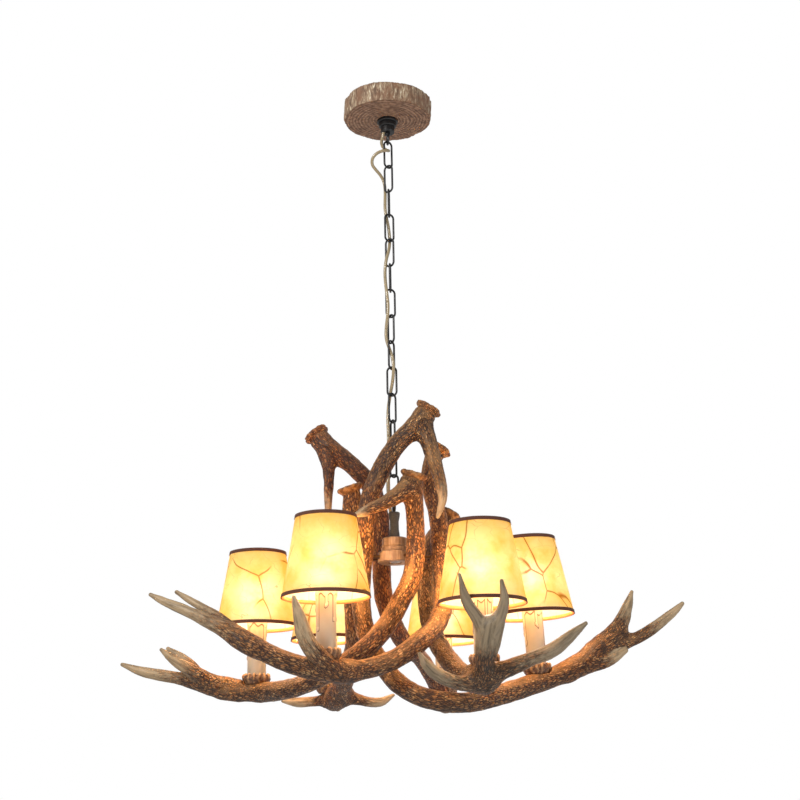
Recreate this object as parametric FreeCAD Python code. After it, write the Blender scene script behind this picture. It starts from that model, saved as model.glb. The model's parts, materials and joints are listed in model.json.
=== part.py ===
# Six-light antler chandelier on a chain, in millimetres.
# Frame: +Z up, the ceiling is z = 0, the chain hangs on the Z axis and +Y points away
# from the side that is seen first.
import FreeCAD
import Part
import math
import os

from FreeCAD import Placement, Rotation, Vector

# ---------------------------------------------------------------- driving sizes
RUNNING_GAP = 0.3            # between pieces that move on each other
FIT_GAP = 0.1                # round a screwed or pushed-in piece

# ceiling bracket and its threaded tube
bracket_length = 112.0
bracket_width = 24.0
bracket_sheet = 2.0
bracket_drop = 8.0           # how far the middle stands off the ceiling
bracket_middle = 34.0
bracket_ramp = 10.0
slot_spacing = 84.0
slot_length = 14.0
slot_width = 5.0
tube_outer = 10.0
tube_bore = 7.0
nut_flats = 15.0
nut_height = 4.0

# canopy: a slice of trunk with bark round its side
canopy_height = 36.0
canopy_floor = 6.0
canopy_cavity = 132.0
canopy_bark_bulge = 1.8
canopy_corners = [           # (angle in degrees, radius) of the bark's ridges
    (8, 76.0), (47, 73.5), (85, 75.5), (124, 73.0), (166, 75.0),
    (205, 73.5), (243, 76.5), (286, 73.0), (327, 74.5)]

# stepped collar under the canopy and its eye
collar_flange = 37.0
collar_flange_height = 5.0
collar_step = 30.0
collar_step_height = 8.0
collar_end = 24.0
collar_height = 24.0
eye_wire = 4.0
eye_radius = 7.75            # to the middle of the wire
eye_stem = 8.0
hub_eye_stem = 5.0           # thinner, since the cord enters the neck beside it
eye_thread_length = 6.0

# chain
link_count = 14
link_length = 53.8           # outside
link_width = 19.0            # outside
link_wire = 3.5
link_seam = 0.4              # the butt gap in one side
wire_sides = 8               # flats round a wire and round the cord
link_turns = [34, 148, 86, 22, 148, 86, 20, 128, 55, 170, 45, 115, 50, 165]
ceiling_eye_turn = 98
hub_eye_turn = 100

# supply cord
cord_diameter = 5.5
cord_hole_gap = 0.4          # the cord runs into its holes a little askew
cord_hole_depth = 4.0
cord_in_hole = 1.0
cord_leave_turn = 200        # where it leaves the collar, as an angle about the chain
cord_points = [              # a loose loop under the collar, then in and out of the links
    (-9, -1.5, -68.5), (-12, 4.5, -76), (-8.5, 11, -83), (-0.5, 9.5, -89.5), (2, 0.5, -94),
    (-2, -8.5, -97.5), (-11, -13.5, -101), (-21, -13, -106), (-28, -9.5, -113.5),
    (-28.5, -3.5, -123), (-21.5, 2.5, -130), (-13.5, 8.5, -137.5), (-7.5, 11.5, -149),
    (-6, 9.5, -167), (-6.5, 6, -185), (-7, 4, -204), (-5, 4, -219), (-1.5, 4, -237),
    (0, 5, -254), (0.5, 6.5, -267), (-1.5, 1.5, -284), (-6.5, -2, -302), (-9, -1, -323),
    (-8, -4.5, -346), (-6, -9, -366), (-4, -7.5, -386), (-5, -7.5, -405), (-8, -2.5, -424),
    (-9, -0.5, -444), (-3.5, -0.5, -462), (2, -5, -480), (3.5, -6.5, -501), (1.5, -0.5, -520),
    (-3, 7, -540), (-6.5, 4.5, -562), (-8, 0, -586), (-7, 0, -612), (-7.5, 0, -640),
    (-7, 1, -662), (-9, -3, -684), (-9.5, -3.5, -704), (-8.5, -4, -724)]

# hub under the chain
neck_top = 18.5
neck_waist = 14.5
neck_foot = 17.0
neck_height = 42.8
eye_stands_off = 1.2         # the ring's wire over the neck's top
cord_beside_stem = 0.4
hub_tiers = [(41.0, 15.0), (44.0, 8.0), (55.0, 17.0)]   # (diameter, height), downwards
hub_bore = 10.4
hub_nut_flats = 17.0
hub_nut_height = 5.0
stud_diameter = 6.0
stud_in_hub = 12.0

# a light, measured from the top of its cup
cup_diameter = 46.0
cup_foot = 36.0
cup_height = 15.0
cup_recess_depth = 8.0
cup_scallops = 12
cup_scallop_depth = 1.6
sleeve_diameter = 29.5
sleeve_wall = 1.6
sleeve_top = 88.0
lamp_tube_top = 32.0
lamp_tube_in_antler = 9.0
socket_diameter = 24.0
socket_bottom = 26.0
socket_top = 86.0
socket_bore = 14.6
socket_bore_depth = 28.0
bulb_base = 14.0
bulb_diameter = 35.0
bulb_top = 160.0
bulb_widest = 114.0
bulb_neck = 20.0
bulb_tip = 9.0
shade_bottom_diameter = 130.0
shade_top_diameter = 92.0
shade_bottom = 78.0
shade_height = 122.0
shade_wall = 0.8
ring_wire = 2.0
spoke_wire = 2.0
spoke_count = 3
clip_width = 22.0
clip_corner = 7.0
clip_bottom = 96.0
clip_saddle = 165.0
clip_saddle_diameter = 12.0

# lights: x, y, rise of the cup's top above the usual height, lean to the left in degrees
cup_drop = 173.0             # from the hub's underside down to the cups' tops
lights = {
    "front_left": (-102.0, -165.0, 17.0, 0.0),
    "front_right": (130.0, -155.0, 5.0, 0.0),
    "right": (219.0, -20.0, 4.0, 2.5),
    "back_right": (82.0, 263.0, -0.0, 0.0),
    "back_left": (-120.0, 243.0, 4.0, 0.0),
    "left": (-227.0, 57.0, 4.0, 0.0),
}

# antlers: (x, y, height over the hub's underside, radius) along each beam and tine
beam_sides = 10
tine_sides = 7
groove_depth = 0.045         # share of the radius that the grooves go in
coronet_height = 9.0
coronet_flare = 1.42
coronet_sides = 13
antlers = {
    "front_left": {
        "beam": [
            (77, 46, 202, 15), (66, 44, 182, 15), (60, 40, 142, 15), (72, 20, 75, 15),
            (73, 0, 17, 15), (76, -42, -63, 15), (63, -81, -109, 15),
            (36, -107, -140, 15), (-2, -124, -167, 14.5), (-49, -141, -183, 15),
            (-102, -168, -187, 16), (-156, -180, -175, 14.5), (-213, -180, -148, 14),
            (-262, -174, -119, 10.5), (-313, -163, -93, 8), (-344, -156, -79, 6),
            (-365, -152, -68, 3)],
        "tines": [
            [(-228, -172, -134, 11), (-256, -161, -110, 8.5), (-282, -150, -92, 7),
             (-307, -140, -76, 5.5), (-329, -133, -62, 2.5)],
            [(-87, -183, -183, 12), (-117, -204, -163, 13.5), (-130, -215, -141, 12.5),
             (-138, -222, -112, 8.5), (-145, -228, -88, 3)]],
    },
    "right": {
        "beam": [
            (60, -44, 247, 15), (44, -44, 222, 15.5), (22, -44, 202, 15.5), (0, -45, 176, 15),
            (-29, -50, 122, 15),
            (-45, -48, 63, 15), (-49, -22, 15, 15), (-55, -15, -59, 15),
            (-44, -30, -124, 14.5), (-10, -70, -185, 14.5), (27, -94, -216, 14.5),
            (74, -92, -228, 15), (126, -69, -225, 15), (219, -26, -196, 16),
            (278, -16, -174, 15), (320, -14, -145, 16), (346, -10, -127, 14)],
        "tines": [
            [(332, -12, -143, 14), (356, -8, -105, 12), (369, -4, -78, 8.5),
             (378, 0, -54, 3)],
            [(328, -12, -143, 13), (372, -12, -132, 9.5), (403, -18, -116, 9),
             (435, -24, -93, 7), (452, -28, -78, 3)],
            [(294, -18, -170, 12), (328, -24, -166, 9), (359, -22, -149, 4)],
            [(46, -47, 217, 14), (55, -52, 196, 14), (62, -58, 167, 12.5), (71, -64, 133, 10.5),
             (76, -67, 108, 9), (78, -69, 88, 6.5), (73, -71, 70, 5), (69, -73, 59, 2.5)]],
    },
    "left": {
        "beam": [
            (34, -72, 130, 15), (29, -70, 113, 15), (32, -62, 91, 15), (34, -38, 31, 15),
            (27, -48, -31, 15),
            (7, -62, -72, 15), (-16, -82, -113, 15), (-47, -92, -147, 15),
            (-86, -84, -172, 14.5), (-125, -61, -189, 14.5), (-173, -19, -199, 15),
            (-226, 52, -196, 16), (-295, 62, -186, 14), (-352, 64, -171, 10.5),
            (-409, 64, -160, 8), (-446, 62, -147, 3)],
        "tines": [
            [(-285, 52, -182, 11), (-332, 44, -160, 10.5), (-360, 36, -142, 8),
             (-378, 32, -128, 3)],
            [(-304, 70, -174, 10), (-346, 84, -141, 8), (-378, 94, -119, 3)],
            [(24, -75, 107, 13.5), (12, -82, 97, 13), (-1, -88, 87, 12), (-17, -92, 77, 10),
             (-36, -94, 69, 9), (-49, -96, 63, 7), (-59, -98, 59, 4)]],
    },
    "front_right": {
        "beam": [
            (96, 62, 86, 15), (77, 51, 64, 15), (58, 42, 30, 15), (50, 24, -40, 15),
            (57, -8, -108, 15), (79, -54, -160, 15), (105, -100, -191, 15),
            (129, -156, -199, 17)],
        "tines": [
            [(128, -154, -202, 15), (128, -192, -182, 13), (132, -208, -155, 12.5),
             (136, -215, -132, 13)],
            [(131, -210, -147, 12), (118, -219, -121, 9), (103, -227, -97, 7.5),
             (94, -233, -60, 2.5)],
            [(137, -210, -147, 12), (150, -224, -121, 9.5), (157, -233, -97, 7),
             (154, -237, -71, 2.5)],
            [(124, -163, -203, 14), (158, -172, -190, 13), (196, -174, -176, 10.5),
             (229, -170, -163, 11), (259, -165, -141, 8), (281, -161, -124, 3)],
            [(130, -163, -206, 13), (96, -172, -209, 11), (63, -180, -198, 9.5),
             (45, -185, -183, 7.5), (35, -188, -167, 3)]],
    },
    "back_right": {
        "beam": [
            (-129, 24, 225, 15), (-114, 20, 205, 15), (-76, 17, 174, 15),
            (-39, 20, 133, 15), (-24, 35, 80, 15), (-23, 44, 26, 15), (-19, 52, -50, 15),
            (9, 91, -112, 14.5), (40, 165, -136, 14), (64, 220, -168, 14),
            (74, 243, -194, 14.5), (82, 266, -201, 15), (84, 290, -203, 11),
            (86, 308, -198, 4)],
        "tines": [
            [(80, 275, -202, 12), (112, 300, -199, 9), (148, 322, -190, 3)],
            [(-112, 18, 199, 13), (-109, 14, 178, 12.5), (-107, 11, 159, 10.5),
             (-107, 9, 137, 8.5), (-108, 8, 107, 6.8), (-108, 8, 81, 5), (-108, 8, 67, 2.5)]],
    },
    "back_left": {
        "beam": [
            (-72, -8, 125, 15), (-68, -6, 112, 15), (-70, 0, 72, 15), (-69, 12, 9, 15),
            (-69, 24, -54, 15),
            (-68, 52, -114, 15), (-81, 122, -158, 15), (-98, 201, -183, 15),
            (-112, 249, -198, 16)],
        "tines": [
            [(-102, 227, -190, 14), (-140, 249, -196, 9), (-175, 254, -197, 8),
             (-202, 258, -194, 3)],
            [(-98, 222, -186, 13), (-62, 238, -198, 9), (-32, 246, -200, 8),
             (-8, 250, -188, 3)],
            [(-102, 230, -186, 13), (-103, 242, -200, 9), (-104, 248, -210, 4)]],
    },
}

# ---------------------------------------------------------------- derived places
link_bend = (link_width - link_wire) / 2              # bend radius, to the wire's middle
link_reach = link_length - link_wire                  # from bend to bend, wire middles
ceiling_eye_seat = -(canopy_height + collar_height + eye_wire
                     + 2 * eye_radius + 1.5)          # lowest wire of the ceiling eye
first_hang = (eye_wire + link_wire) / 2 + RUNNING_GAP
link_hang = link_wire + RUNNING_GAP


def link_top(number):
    """Height of a link's upper bend, at the middle of its wire."""
    top = ceiling_eye_seat + first_hang
    return top - (number - 1) * (link_reach - link_hang)


chain_end = link_top(link_count) - link_reach         # lowest wire of the last link
hub_eye_centre = chain_end + first_hang - eye_radius
neck_top_height = hub_eye_centre - eye_radius - eye_stands_off
hub_top = neck_top_height - neck_height
hub_base = hub_top - sum(height for _, height in hub_tiers)
cup_top = hub_base - cup_drop
stud_height = hub_base + hub_tiers[-1][1] / 2
clip_near = math.sqrt((bulb_diameter / 2 + RUNNING_GAP) ** 2
                      - (clip_width / 2 - ring_wire) ** 2)   # a hoop's wire meets the bulb


# ---------------------------------------------------------------- helpers
def revolved(profile):
    """A solid of revolution about Z from (radius, height) corners."""
    corners = [Vector(radius, 0, height) for radius, height in profile]
    face = Part.Face(Part.makePolygon(corners + corners[:1]))
    return face.revolve(Vector(0, 0, 0), Vector(0, 0, 1), 360)


def cylinder(diameter, low, high, x=0.0, y=0.0):
    return Part.makeCylinder(diameter / 2, high - low, Vector(x, y, low))


def polygon_round(centre, along, radius, sides):
    """A regular polygon about a point, square to a direction."""
    helper = Vector(0, 0, 1) if abs(along.z) < 0.9 * along.Length else Vector(1, 0, 0)
    across = helper.cross(along).normalize() * radius
    up = Vector(along).normalize().cross(across)
    corners = []
    for side in range(sides):
        angle = 2 * math.pi * side / sides
        corners.append(centre + across * math.cos(angle) + up * math.sin(angle))
    return Part.makePolygon(corners + corners[:1])


def hexagon(flats, low, high):
    outline = polygon_round(Vector(0, 0, low), Vector(0, 0, 1), flats / math.sqrt(3), 6)
    return Part.Face(outline).extrude(Vector(0, 0, high - low))


def turned(shape, degrees):
    """The shape turned about the chain's axis."""
    copy = shape.copy()
    copy.rotate(Vector(0, 0, 0), Vector(0, 0, 1), degrees)
    return copy


def save(name, shape):
    assert shape.isValid(), name
    shape.exportStep("parts/" + name + ".step")
    print(name, round(shape.Volume), "mm3,", len(shape.Solids), "solid(s)")


# ---------------------------------------------------------------- ceiling hardware
def mounting_bracket():
    """A strap whose ends lie on the ceiling and whose middle stands off it."""
    end = bracket_length / 2
    middle = bracket_middle / 2
    ramp = middle + bracket_ramp
    upper = [(-end, 0), (-ramp, 0), (-middle, -bracket_drop), (middle, -bracket_drop),
             (ramp, 0), (end, 0)]
    lower = [(x, z - bracket_sheet) for x, z in reversed(upper)]
    corners = [Vector(x, -bracket_width / 2, z) for x, z in upper + lower]
    strap = Part.Face(Part.makePolygon(corners + corners[:1])).extrude(
        Vector(0, bracket_width, 0))
    cuts = [cylinder(tube_outer + 2 * FIT_GAP, -bracket_drop - bracket_sheet, 0)]
    for side in (-1, 1):
        centre = side * slot_spacing / 2
        straight = (slot_length - slot_width) / 2
        for x in (centre - straight, centre + straight):
            cuts.append(cylinder(slot_width, -bracket_sheet, 0, x))
        cuts.append(Part.makeBox(2 * straight, slot_width, bracket_sheet,
                                 Vector(centre - straight, -slot_width / 2, -bracket_sheet)))
    return strap.cut(cuts).removeSplitter()


def mounting_tube():
    """The threaded tube that carries everything and lets the wires through."""
    top = -bracket_drop + nut_height + 1.0
    bottom = -(canopy_height + collar_height - eye_thread_length - 2.0)
    return cylinder(tube_outer, bottom, top).cut(cylinder(tube_bore, bottom, top))


def bracket_nuts():
    low = -bracket_drop - bracket_sheet
    nuts = [hexagon(nut_flats, -bracket_drop, -bracket_drop + nut_height),
            hexagon(nut_flats, low - nut_height, low)]
    bore = cylinder(tube_outer + 2 * FIT_GAP, low - nut_height, 0)
    return Part.makeCompound([nut.cut(bore) for nut in nuts])


def canopy():
    """A slice of trunk: arcs of bark between its ridges, hollow over the bracket."""
    ridges = [Vector(radius * math.cos(math.radians(angle)),
                     radius * math.sin(math.radians(angle)), 0)
              for angle, radius in canopy_corners]
    edges = []
    for start, end in zip(ridges, ridges[1:] + ridges[:1]):
        middle = (start + end) * 0.5
        outward = Vector(middle).normalize()
        bulge = middle + outward * ((start.Length + end.Length) / 2
                                    - middle.Length + canopy_bark_bulge)
        edges.append(Part.Arc(start, bulge, end).toShape())
    slice_of_trunk = Part.Face(Part.Wire(edges)).extrude(Vector(0, 0, -canopy_height))
    cavity = cylinder(canopy_cavity, -(canopy_height - canopy_floor), 0)
    bore = cylinder(tube_outer + 2 * FIT_GAP, -canopy_height, 0)
    return slice_of_trunk.cut([cavity, bore])


def cord_exit():
    """Where the cord leaves the collar: beside the eye's stem, to the left."""
    distance = (eye_stem + cord_diameter) / 2 + 0.9
    angle = math.radians(cord_leave_turn)
    return Vector(distance * math.cos(angle), distance * math.sin(angle),
                  -(canopy_height + collar_height))


def canopy_collar():
    top = -canopy_height
    step = top - collar_flange_height
    end = step - collar_step_height
    bottom = top - collar_height
    body = revolved([
        (0, top), (collar_flange / 2, top), (collar_flange / 2, step + 1.5),
        (collar_flange / 2 - 1.5, step), (collar_step / 2, step),
        (collar_step / 2, end + 1.5), (collar_step / 2 - 1.5, end),
        (collar_end / 2, end), (collar_end / 2, bottom + 2.5),
        (collar_end / 2 - 1.0, bottom), (0, bottom)])
    tube_hole = cylinder(tube_outer + 2 * FIT_GAP, bottom + eye_thread_length + 1.0, top)
    eye_hole = cylinder(eye_stem + 2 * FIT_GAP, bottom, bottom + eye_thread_length)
    exit_point = cord_exit()
    cord_hole = cylinder(cord_diameter + 2 * cord_hole_gap, bottom,
                         bottom + cord_hole_depth, exit_point.x, exit_point.y)
    return body.cut([tube_hole, eye_hole, cord_hole])


def eye(stem_diameter, stem_points_down):
    """A cast ring on a threaded stem, ring in the XZ plane, centre at the origin."""
    section = polygon_round(Vector(eye_radius, 0, 0), Vector(0, 0, 1), eye_wire / 2,
                            wire_sides)
    ring = Part.Face(section).revolve(Vector(0, 0, 0), Vector(0, 1, 0), 360)
    shoulder = eye_radius + 1.5
    reach = eye_radius + eye_wire / 2 + 1.5 + eye_thread_length
    stem = Part.makeCylinder(stem_diameter / 2, reach - shoulder, Vector(0, 0, shoulder))
    root = Part.makeCone(eye_wire / 2, stem_diameter / 2, shoulder - eye_radius,
                         Vector(0, 0, eye_radius))
    shape = ring.fuse([root, stem])
    if stem_points_down:
        shape.rotate(Vector(0, 0, 0), Vector(0, 1, 0), 180)
    return shape


def canopy_eye():
    shape = turned(eye(eye_stem, False), ceiling_eye_turn)
    shape.translate(Vector(0, 0, ceiling_eye_seat + eye_radius))
    return shape


# ---------------------------------------------------------------- chain
def chain_link(number):
    """An oval link bent from wire, its ends butted half way down one side."""
    top = link_top(number)
    bottom = top - link_reach
    high, low = top - link_bend, bottom + link_bend
    seam = (high + low) / 2
    side = link_bend
    points = [Vector(side, 0, seam - link_seam / 2), Vector(side, 0, low),
              Vector(0, 0, bottom), Vector(-side, 0, low), Vector(-side, 0, high),
              Vector(0, 0, top), Vector(side, 0, high),
              Vector(side, 0, seam + link_seam / 2)]
    path = Part.Wire([
        Part.makeLine(points[0], points[1]),
        Part.Arc(points[1], points[2], points[3]).toShape(),
        Part.makeLine(points[3], points[4]),
        Part.Arc(points[4], points[5], points[6]).toShape(),
        Part.makeLine(points[6], points[7])])
    section = polygon_round(points[0], Vector(0, 0, -1), link_wire / 2, wire_sides)
    return turned(path.makePipeShell([section], True, False), link_turns[number - 1])


# ---------------------------------------------------------------- hub
def hub_eye():
    shape = turned(eye(hub_eye_stem, True), hub_eye_turn)
    shape.translate(Vector(0, 0, hub_eye_centre))
    return shape


def cord_entry():
    """Where the cord enters the neck's top, beside the eye."""
    distance = (hub_eye_stem + cord_diameter) / 2 + cord_beside_stem
    angle = math.radians(hub_eye_turn + 90)
    return Vector(distance * math.cos(angle), distance * math.sin(angle), neck_top_height)


def hub_neck():
    waist = neck_top_height - neck_height / 2
    flare = neck_height * 0.3
    body = revolved([
        (0, neck_top_height), (neck_top / 2 - 1, neck_top_height),
        (neck_top / 2, neck_top_height - 1), (neck_top / 2, neck_top_height - 5),
        (neck_waist / 2, waist + flare / 2), (neck_waist / 2, waist - flare / 2),
        (neck_foot / 2, hub_top + 5), (neck_foot / 2, hub_top), (0, hub_top)])
    stem_hole = cylinder(hub_eye_stem + 2 * FIT_GAP, neck_top_height - eye_wire / 2
                         - eye_thread_length - 2.0, neck_top_height)
    point = cord_entry()
    cord_hole = cylinder(cord_diameter + 2 * cord_hole_gap,
                         neck_top_height - cord_hole_depth, neck_top_height,
                         point.x, point.y)
    tube_hole = cylinder(hub_bore, hub_top, waist)
    return body.cut([stem_hole, cord_hole, tube_hole])


def hub_body():
    """Turned tiers, each wider than the one above, with softened edges."""
    soft = 1.5
    profile = [(0, hub_top)]
    height = hub_top
    for diameter, tall in hub_tiers:
        radius = diameter / 2
        profile += [(radius - soft, height), (radius, height - soft),
                    (radius, height - tall + soft), (radius - soft, height - tall)]
        height -= tall
    profile.append((0, height))
    body = revolved(profile)
    holes = [cylinder(hub_bore, hub_base, hub_top),
             cylinder(hub_nut_flats + 6, hub_base, hub_base + hub_nut_height + 1)]
    for name in antlers:
        holes.append(stud(name, stud_diameter / 2 + FIT_GAP))
    return body.cut(holes)


def hub_tube():
    """Threaded tube through the hub, closed by a nut in its underside."""
    low = hub_base + 1.0
    high = hub_top + neck_height / 2 - 2
    tube = cylinder(tube_outer, low, high)
    seat = hub_base + 1.0
    nut = hexagon(hub_nut_flats, seat, seat + hub_nut_height).cut(
        cylinder(tube_outer + 2 * FIT_GAP, seat, seat + hub_nut_height))
    bore = cylinder(tube_bore, low, high)
    return Part.makeCompound([tube.cut(bore), nut])


# ---------------------------------------------------------------- supply cord
def cord():
    """A tube along straight runs joined by tangent arcs, as large as the runs allow."""
    route = ([cord_exit() + Vector(0, 0, cord_in_hole)]
             + [Vector(*point) for point in cord_points]
             + [cord_entry() - Vector(0, 0, cord_in_hole)])
    edges, radii = [], []
    here = route[0]
    for before, corner, after in zip(route, route[1:], route[2:]):
        arriving, leaving = corner - before, after - corner
        turn = arriving.getAngle(leaving)
        share = 0.45 * min(arriving.Length, leaving.Length)
        radii.append(share / math.tan(turn / 2))
        arriving.normalize()
        leaving.normalize()
        start = corner - arriving * share
        end = corner + leaving * share
        inward = (leaving - arriving).normalize()
        middle = corner + inward * (radii[-1] * (1 / math.cos(turn / 2) - 1))
        edges += [Part.makeLine(here, start), Part.Arc(start, middle, end).toShape()]
        here = end
    edges.append(Part.makeLine(here, route[-1]))
    path = Part.Wire(edges)
    section = polygon_round(route[0], route[1] - route[0], cord_diameter / 2, wire_sides)
    tube = path.makePipeShell([section], True, False)
    expected = Part.Face(section).Area * path.Length
    print("cord length", round(path.Length), "radii", [round(radius) for radius in radii])
    print("cord volume over section x length", round(tube.Volume / expected, 4))
    return tube


# ---------------------------------------------------------------- antlers
def spine_vector(point):
    return Vector(point[0], point[1], hub_base + point[2])


def sections(points, sides):
    """Ridged polygons across a spine, turned with it and not about it."""
    spine = [spine_vector(point) for point in points]
    wires = []
    across = None
    for i, (centre, point) in enumerate(zip(spine, points)):
        before = spine[max(i - 1, 0)]
        after = spine[min(i + 1, len(spine) - 1)]
        along = (after - before).normalize()
        if across is None:
            helper = Vector(0, 0, 1) if abs(along.z) < 0.9 else Vector(1, 0, 0)
            across = helper.cross(along).normalize()
        across = (across - along * across.dot(along)).normalize()
        up = along.cross(across)
        corners = []
        for side in range(sides):
            angle = 2 * math.pi * side / sides
            radius = point[3] * (1.03 + groove_depth * math.cos(3 * angle + 0.4 * i))
            corners.append(centre + across * (radius * math.cos(angle))
                           + up * (radius * math.sin(angle)))
        wires.append(Part.makePolygon(corners + corners[:1]))
    return wires


def horn(points, sides):
    return Part.makeLoft(sections(points, sides), True, False)


def coronet(points):
    """The knobbly burr round the foot of a beam."""
    foot = spine_vector(points[0])
    along = (spine_vector(points[1]) - foot).normalize()
    radius = points[0][3]
    helper = Vector(0, 1, 0) if abs(along.y) < 0.9 else Vector(1, 0, 0)
    across = helper.cross(along).normalize()
    up = along.cross(across)
    rings = [(-0.15, 0.98), (0.1, 1.0), (0.55, 1.0), (1.0, 0.80)]
    wires = []
    for share, scale in rings:
        corners = []
        for side in range(coronet_sides):
            angle = 2 * math.pi * side / coronet_sides
            knob = 1.0 + 0.06 * math.cos(5 * angle) + 0.03 * math.cos(2 * angle)
            reach = radius * coronet_flare * scale * knob
            corners.append(foot + along * (coronet_height * share)
                           + across * (reach * math.cos(angle))
                           + up * (reach * math.sin(angle)))
        wires.append(Part.makePolygon(corners + corners[:1]))
    return Part.makeLoft(wires, True, True)


def beam_at(points, height):
    """The beam's middle where it passes a height, counted from the hub's underside."""
    for upper, lower in zip(points, points[1:]):
        if lower[2] <= height <= upper[2]:
            share = (upper[2] - height) / (upper[2] - lower[2])
            return Vector(upper[0] + share * (lower[0] - upper[0]),
                          upper[1] + share * (lower[1] - upper[1]), 0)
    raise ValueError("the beam never passes that height")


def stud(name, radius):
    """A rod from inside the hub to inside the antler's beam."""
    target = beam_at(antlers[name]["beam"], stud_height - hub_base)
    outward = Vector(target).normalize()
    start = hub_tiers[-1][0] / 2 - stud_in_hub
    length = target.Length - start
    origin = outward * start + Vector(0, 0, stud_height)
    return Part.makeCylinder(radius, length, origin, outward)


def hub_studs():
    return Part.makeCompound([stud(name, stud_diameter / 2) for name in antlers])


def antler(name):
    data = antlers[name]
    body = horn(data["beam"], beam_sides)
    pieces = [coronet(data["beam"])] + [horn(tine, tine_sides) for tine in data["tines"]]
    body = body.fuse(pieces)
    cuts = [stud(name, stud_diameter / 2 + FIT_GAP)]
    seat = cylinder(cup_diameter + 1.0, -cup_height, 40.0)
    tube_hole = cylinder(tube_outer + 2 * FIT_GAP, -cup_height - lamp_tube_in_antler, 0)
    cuts += [placed(name, seat), placed(name, tube_hole)]
    return body.cut(cuts)


# ---------------------------------------------------------------- lights
def placed(name, shape):
    """A piece of a light, drawn round the origin, set on its antler."""
    x, y, rise, lean = lights[name]
    copy = shape.copy()
    copy.Placement = Placement(Vector(x, y, cup_top + rise),
                               Rotation(Vector(0, 1, 0), -lean))
    return copy


def cup():
    """A burr-like dish: scalloped rim, recess for the sleeve, hole for the tube."""
    rim = cup_diameter / 2
    body = revolved([
        (0, 0), (rim - 3, 0), (rim, -3), (rim, -cup_height * 0.45),
        (cup_foot / 2 + 2, -cup_height + 3), (cup_foot / 2, -cup_height),
        (0, -cup_height)])
    cuts = [cylinder(sleeve_diameter + 2 * RUNNING_GAP, -cup_recess_depth, 0),
            cylinder(tube_outer + 2 * FIT_GAP, -cup_height, 0)]
    for i in range(cup_scallops):
        angle = 2 * math.pi * i / cup_scallops
        reach = rim + cup_scallop_depth
        cuts.append(cylinder(4 * cup_scallop_depth, -cup_height, 0,
                             reach * math.cos(angle), reach * math.sin(angle)))
    return body.cut(cuts)


def candle_sleeve():
    outer = sleeve_diameter
    inner = sleeve_diameter - 2 * sleeve_wall
    return cylinder(outer, -cup_recess_depth, sleeve_top).cut(
        cylinder(inner, -cup_recess_depth, sleeve_top))


def lamp_tube():
    low = -cup_height - lamp_tube_in_antler
    return cylinder(tube_outer, low, lamp_tube_top).cut(
        cylinder(tube_bore, low, lamp_tube_top))


def lamp_socket():
    body = cylinder(socket_diameter, socket_bottom, socket_top)
    return body.cut([cylinder(tube_outer + 2 * FIT_GAP, socket_bottom,
                              lamp_tube_top),
                     cylinder(socket_bore, socket_top - socket_bore_depth, socket_top)])


def bulb():
    """A candle bulb: screw base, neck, widest ring and pointed top."""
    base_low = socket_top - socket_bore_depth + RUNNING_GAP
    return revolved([
        (0, base_low), (bulb_base / 2, base_low), (bulb_base / 2, socket_top + RUNNING_GAP),
        (bulb_neck / 2, socket_top + RUNNING_GAP), (bulb_neck / 2 + 1, socket_top + 6),
        (bulb_diameter / 2, bulb_widest - 5), (bulb_diameter / 2, bulb_widest + 5),
        (bulb_tip, bulb_top - 12), (bulb_tip / 3, bulb_top), (0, bulb_top)])


def shade_cover():
    """An open cone of stiffened parchment."""
    low, high = shade_bottom, shade_bottom + shade_height
    bottom, top = shade_bottom_diameter / 2, shade_top_diameter / 2
    return revolved([(bottom - shade_wall, low), (bottom, low), (top, high),
                     (top - shade_wall, high)])


def shade_radius(height):
    share = (height - shade_bottom) / shade_height
    low, high = shade_bottom_diameter / 2, shade_top_diameter / 2
    return low + share * (high - low) - shade_wall


def wire_ring(height):
    outer = shade_radius(height + ring_wire) - 0.02
    return revolved([(outer - ring_wire, height), (outer, height),
                     (outer, height + ring_wire), (outer - ring_wire, height + ring_wire)])


def clip_side(side):
    """A flat wire hoop; the bulb's widest part swells into it."""
    near = side * clip_near
    low, high = clip_bottom, clip_saddle + ring_wire

    def outline(inset):
        half = clip_width / 2 - inset
        cut = clip_corner - inset / 2
        bottom, top = low + inset, high - inset
        corners = [(half, bottom + cut), (half, top), (-half, top), (-half, bottom + cut),
                   (-half + cut, bottom), (half - cut, bottom)]
        return [Vector(near, y, z) for y, z in corners + corners[:1]]

    outside, inside = (Part.Face(Part.makePolygon(outline(inset))).extrude(
        Vector(side * ring_wire * 0.8, 0, 0)) for inset in (0, ring_wire))
    return outside.cut(inside)


def shade_frame():
    """Wire rings, spokes, saddle and the clip that grips the bulb."""
    top_ring_height = shade_bottom + shade_height - 2 * ring_wire
    ring = wire_ring(top_ring_height)
    saddle = cylinder(clip_saddle_diameter, clip_saddle, clip_saddle + ring_wire)
    bridge_half = clip_near + ring_wire * 0.8
    bridge = Part.makeBox(2 * bridge_half, 2 * ring_wire, ring_wire,
                          Vector(-bridge_half, -ring_wire, clip_saddle))
    pieces = [saddle, bridge, clip_side(-1), clip_side(1)]
    inner = clip_saddle_diameter / 2 - 1.0
    outer = shade_radius(top_ring_height) - ring_wire / 2
    for i in range(spoke_count):
        angle = math.radians(90 + 360 * i / spoke_count)
        start = Vector(inner * math.cos(angle), inner * math.sin(angle),
                       clip_saddle + ring_wire / 2)
        end = Vector(outer * math.cos(angle), outer * math.sin(angle),
                     top_ring_height + ring_wire / 2)
        pieces.append(square_bar(start, end, spoke_wire))
    return ring.fuse(pieces)


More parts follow.
